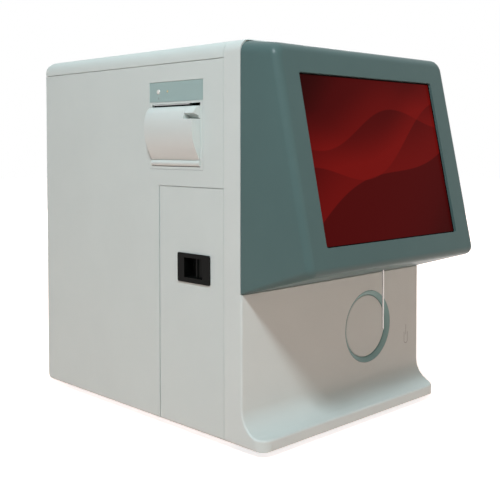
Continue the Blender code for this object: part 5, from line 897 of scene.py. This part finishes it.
class ANALYZER_OT_printer(bpy.types.Operator):
    """Finish the side printer and print the feed mark under its button"""

    bl_idname = "analyzer.printer"
    bl_label = "Side printer"

    def execute(self, context):
        dress_all(PRINTER_NODES)
        low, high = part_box("status_button")
        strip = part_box("status_strip")[0][0]
        place = (strip - PRINT_THICKNESS_MM * MM, (low[1] + high[1]) / 2, low[2] - FEED_MARK_DROP_MM * MM)
        mark = flat_mark("feed_mark", [FEED_WEDGE_MM, FEED_BAR_MM])
        place_piece("feed_mark", mark, FACING_LEFT, place, "case", "printed_grey_ink")
        return {"FINISHED"}


class ANALYZER_OT_start_key(bpy.types.Operator):
    """Finish the round start key, its ring and its guide"""

    bl_idname = "analyzer.start_key"
    bl_label = "Start key"

    def execute(self, context):
        dress_all(KEY_NODES)
        return {"FINISHED"}


class ANALYZER_OT_sampling(bpy.types.Operator):
    """Finish the sample probe with its lift and print the sample tube mark beside it"""

    bl_idname = "analyzer.sampling"
    bl_label = "Sample probe and lift"

    def execute(self, context):
        dress_all(SAMPLING_NODES)
        line = trim().mark_line / MM
        low, high = NEEDLE_ENDS_MM
        needle = [(-line / 2, low), (line / 2, low), (line / 2, high), (-line / 2, high)]
        mark = flat_mark("tube_mark", [tube_outline(TUBE_WIDTH_MM, TUBE_TOP_MM, line), needle])
        place = BODY_ORIGIN + Vector(TUBE_MARK_MM) * MM
        place_piece("tube_mark", mark, FACING_FRONT, place, "case", "printed_grey_ink")
        return {"FINISHED"}


class ANALYZER_OT_fluids(bpy.types.Operator):
    """Finish the syringe, baths, valves, pump and reagent ports, with a coloured ring at each port"""

    bl_idname = "analyzer.fluids"
    bl_label = "Fluid parts"

    def execute(self, context):
        dress_all(FLUID_NODES)
        dyes = ("green_dyed_nylon", "blue_dyed_nylon", "yellow_dyed_nylon", "red_dyed_nylon")
        inner, outer, height = (PORT_RING_MM[name] * MM for name in ("inner", "outer", "height"))
        for x, dye in zip(PORT_SIDES_MM, dyes):
            title = dye.replace("dyed_nylon", "port_ring")
            ring = marking_ring(title, inner, outer, height)
            place = (x * MM, PORT_PLATE_MM * MM, PORT_HEIGHT_MM * MM)
            item = place_piece(title, ring, FACING_REAR, place, "case", dye)
            shade_by_angle(item)
        return {"FINISHED"}


class ANALYZER_OT_power(bpy.types.Operator):
    """Finish the board, supply, fan, inlet and sockets"""

    bl_idname = "analyzer.power"
    bl_label = "Power and data"

    def execute(self, context):
        dress_all(POWER_NODES)
        return {"FINISHED"}


class ANALYZER_OT_screws(bpy.types.Operator):
    """Set the pan-head screws on the rear panel"""

    bl_idname = "analyzer.screws"
    bl_label = "Rear screws"

    def execute(self, context):
        dress_screw_heads()
        return {"FINISHED"}


# Each lamp's name, place, target, side length and setting
LAMPS = (
    ("key_lamp", (-1.25, -0.95, 1.85), (0.0, -0.10, 0.10), 0.32, "key"),
    ("top_lamp", (0.2, 0.2, 2.2), (0.0, 0.0, 0.2), 2.0, "top"),
    ("side_lamp", (-2.4, 0.3, 0.7), (0.0, 0.0, 0.2), 1.8, "side"),
    ("rear_lamp", (2.1, 2.1, 0.60), (0.0, 0.0, 0.2), 1.1, "rear"),
    ("front_lamp", (0.5, -2.6, 0.5), (0.0, 0.0, 0.2), 1.6, "front"),
)


def area_lamp(title, place, target, size, power, colour):
    """A soft square lamp that points at a target and isn't seen itself."""
    lamp = bpy.data.lights.new(title, "AREA")
    lamp.shape = "SQUARE"
    lamp.size = size
    lamp.energy = power
    lamp.color = colour
    item = bpy.data.objects.new(title, lamp)
    item.location = place
    item.rotation_mode = "QUATERNION"
    item.rotation_quaternion = (Vector(target) - Vector(place)).to_track_quat("-Z", "Y")
    item.visible_camera = False
    bpy.context.scene.collection.objects.link(item)


def seen_rays(tree):
    """One for rays that the eye, a mirror or a lens sends, and nought for rays of light."""
    path = add_node(tree, "ShaderNodeLightPath")
    eye_or_mirror = combine(tree, path.outputs["Is Camera Ray"], path.outputs["Is Glossy Ray"], "MAXIMUM")
    return combine(tree, eye_or_mirror, path.outputs["Is Transmission Ray"], "MAXIMUM")


def build_surroundings(sizes):
    """A pale room: soft light for the object, plain white for the eye."""
    world = bpy.data.worlds.new("pale_surroundings")
    world.use_nodes = True
    tree = world.node_tree
    tree.nodes.clear()
    light = add_node(tree, "ShaderNodeBackground", {"Color": (*sizes.sky_colour, 1.0), "Strength": sizes.sky_strength})
    shown = add_node(tree, "ShaderNodeBackground", {"Color": (1.0, 1.0, 1.0, 1.0), "Strength": 1.0})
    mixed = add_node(tree, "ShaderNodeMixShader", {}, {0: seen_rays(tree), 1: light, 2: shown})
    add_node(tree, "ShaderNodeOutputWorld", {}, {"Surface": mixed})
    bpy.context.scene.world = world


def build_floor(sizes):
    """A wide sheet of pale paper with a fine tooth, which shows white but keeps the shadow near the object."""
    bm = bmesh.new()
    bmesh.ops.create_grid(bm, x_segments=8, y_segments=8, size=FLOOR_HALF_WIDTH)
    mesh = bpy.data.meshes.new("floor")
    bm.to_mesh(mesh)
    bm.free()
    floor = bpy.data.objects.new("floor", mesh)
    bpy.context.scene.collection.objects.link(floor)
    made, tree, output = new_material("seamless_paper")
    place = add_node(tree, "ShaderNodeTexCoord")
    tooth = add_node(
        tree, "ShaderNodeTexNoise", {"Scale": 1.0 / (FLOOR_TOOTH_MM * MM), "Detail": 2.0},
        {"Vector": place.outputs["Object"]},
    )
    shades = (shaded(sizes.floor_colour, 0.99), shaded(sizes.floor_colour, 1.01))
    tinted = add_ramp(tree, tooth.outputs["Fac"], list(zip(NOISE_SPREAD, shades)))
    diffuse = add_node(tree, "ShaderNodeBsdfDiffuse", {}, {"Color": tinted.outputs["Color"]})
    away = add_node(tree, "ShaderNodeVectorMath", {"operation": "LENGTH"}, {0: place.outputs["Object"]})
    level = add_node(
        tree, "ShaderNodeMapRange",
        {
            "interpolation_type": "SMOOTHSTEP", "From Min": FLOOR_FADE[0], "From Max": FLOOR_FADE[1],
            "To Min": sizes.floor_glow, "To Max": 1.0,
        },
        {"Value": away.outputs["Value"]},
    )
    shown = combine(tree, seen_rays(tree), level, "MULTIPLY")
    glow = add_node(tree, "ShaderNodeEmission", {"Color": (1.0, 1.0, 1.0, 1.0)}, {"Strength": shown})
    both = add_node(tree, "ShaderNodeAddShader", {}, {0: diffuse, 1: glow})
    tree.links.new(both.outputs[0], output.inputs["Surface"])
    mesh.materials.append(made)


def build_camera():
    """The photograph's view."""
    camera = bpy.data.cameras.new("camera")
    camera.sensor_width = SENSOR_WIDTH
    camera.lens = FOCAL_PIXELS / IMAGE_PIXELS * SENSOR_WIDTH
    camera.shift_y = (HORIZON_PIXEL - IMAGE_PIXELS / 2) / IMAGE_PIXELS
    item = bpy.data.objects.new("camera", camera)
    item.location = CAMERA_PLACE
    item.rotation_euler = CAMERA_TURN
    bpy.context.scene.collection.objects.link(item)
    bpy.context.scene.camera = item


class ANALYZER_OT_stage(bpy.types.Operator):
    """Build the floor, the surroundings, the lamps and the camera"""

    bl_idname = "analyzer.stage"
    bl_label = "Stage"

    def execute(self, context):
        sizes = context.scene.analyzer_stage
        build_surroundings(sizes)
        build_floor(sizes)
        for title, place, target, size, level in LAMPS:
            power, colour = getattr(sizes, f"{level}_power"), getattr(sizes, f"{level}_colour")
            area_lamp(title, place, target, size, power, colour)
        build_camera()
        context.scene.view_settings.view_transform = "Standard"
        return {"FINISHED"}


OPERATORS = (
    ANALYZER_OT_case, ANALYZER_OT_display, ANALYZER_OT_latch, ANALYZER_OT_printer, ANALYZER_OT_start_key,
    ANALYZER_OT_sampling, ANALYZER_OT_fluids, ANALYZER_OT_power, ANALYZER_OT_screws, ANALYZER_OT_stage,
)
SETTINGS = (("analyzer_finishes", AnalyzerFinishes), ("analyzer_trim", AnalyzerTrim), ("analyzer_stage", AnalyzerStage))


class ANALYZER_PT_sidebar(bpy.types.Panel):
    """Lists the analyzer's settings and the steps that build its looks"""

    bl_idname = "ANALYZER_PT_sidebar"
    bl_label = "Blood cell analyzer"
    bl_space_type = "VIEW_3D"
    bl_region_type = "UI"
    bl_category = "Analyzer"

    def draw(self, context):
        for holder, group in SETTINGS:
            box = self.layout.box()
            for name in group.__annotations__:
                box.prop(getattr(context.scene, holder), name)
        for step in OPERATORS:
            self.layout.operator(step.bl_idname)


CLASSES = (*(group for holder, group in SETTINGS), *OPERATORS, ANALYZER_PT_sidebar)


def register():
    for item in CLASSES:
        bpy.utils.register_class(item)
    for holder, group in SETTINGS:
        setattr(bpy.types.Scene, holder, bpy.props.PointerProperty(type=group))


def unregister():
    for holder, group in SETTINGS:
        delattr(bpy.types.Scene, holder)
    for item in reversed(CLASSES):
        bpy.utils.unregister_class(item)


def main():
    register()
    bpy.ops.analyzer.case()
    bpy.ops.analyzer.display()
    bpy.ops.analyzer.latch()
    bpy.ops.analyzer.printer()
    bpy.ops.analyzer.start_key()
    bpy.ops.analyzer.sampling()
    bpy.ops.analyzer.fluids()
    bpy.ops.analyzer.power()
    bpy.ops.analyzer.screws()
    bpy.ops.analyzer.stage()


if __name__ == "__main__":
    main()
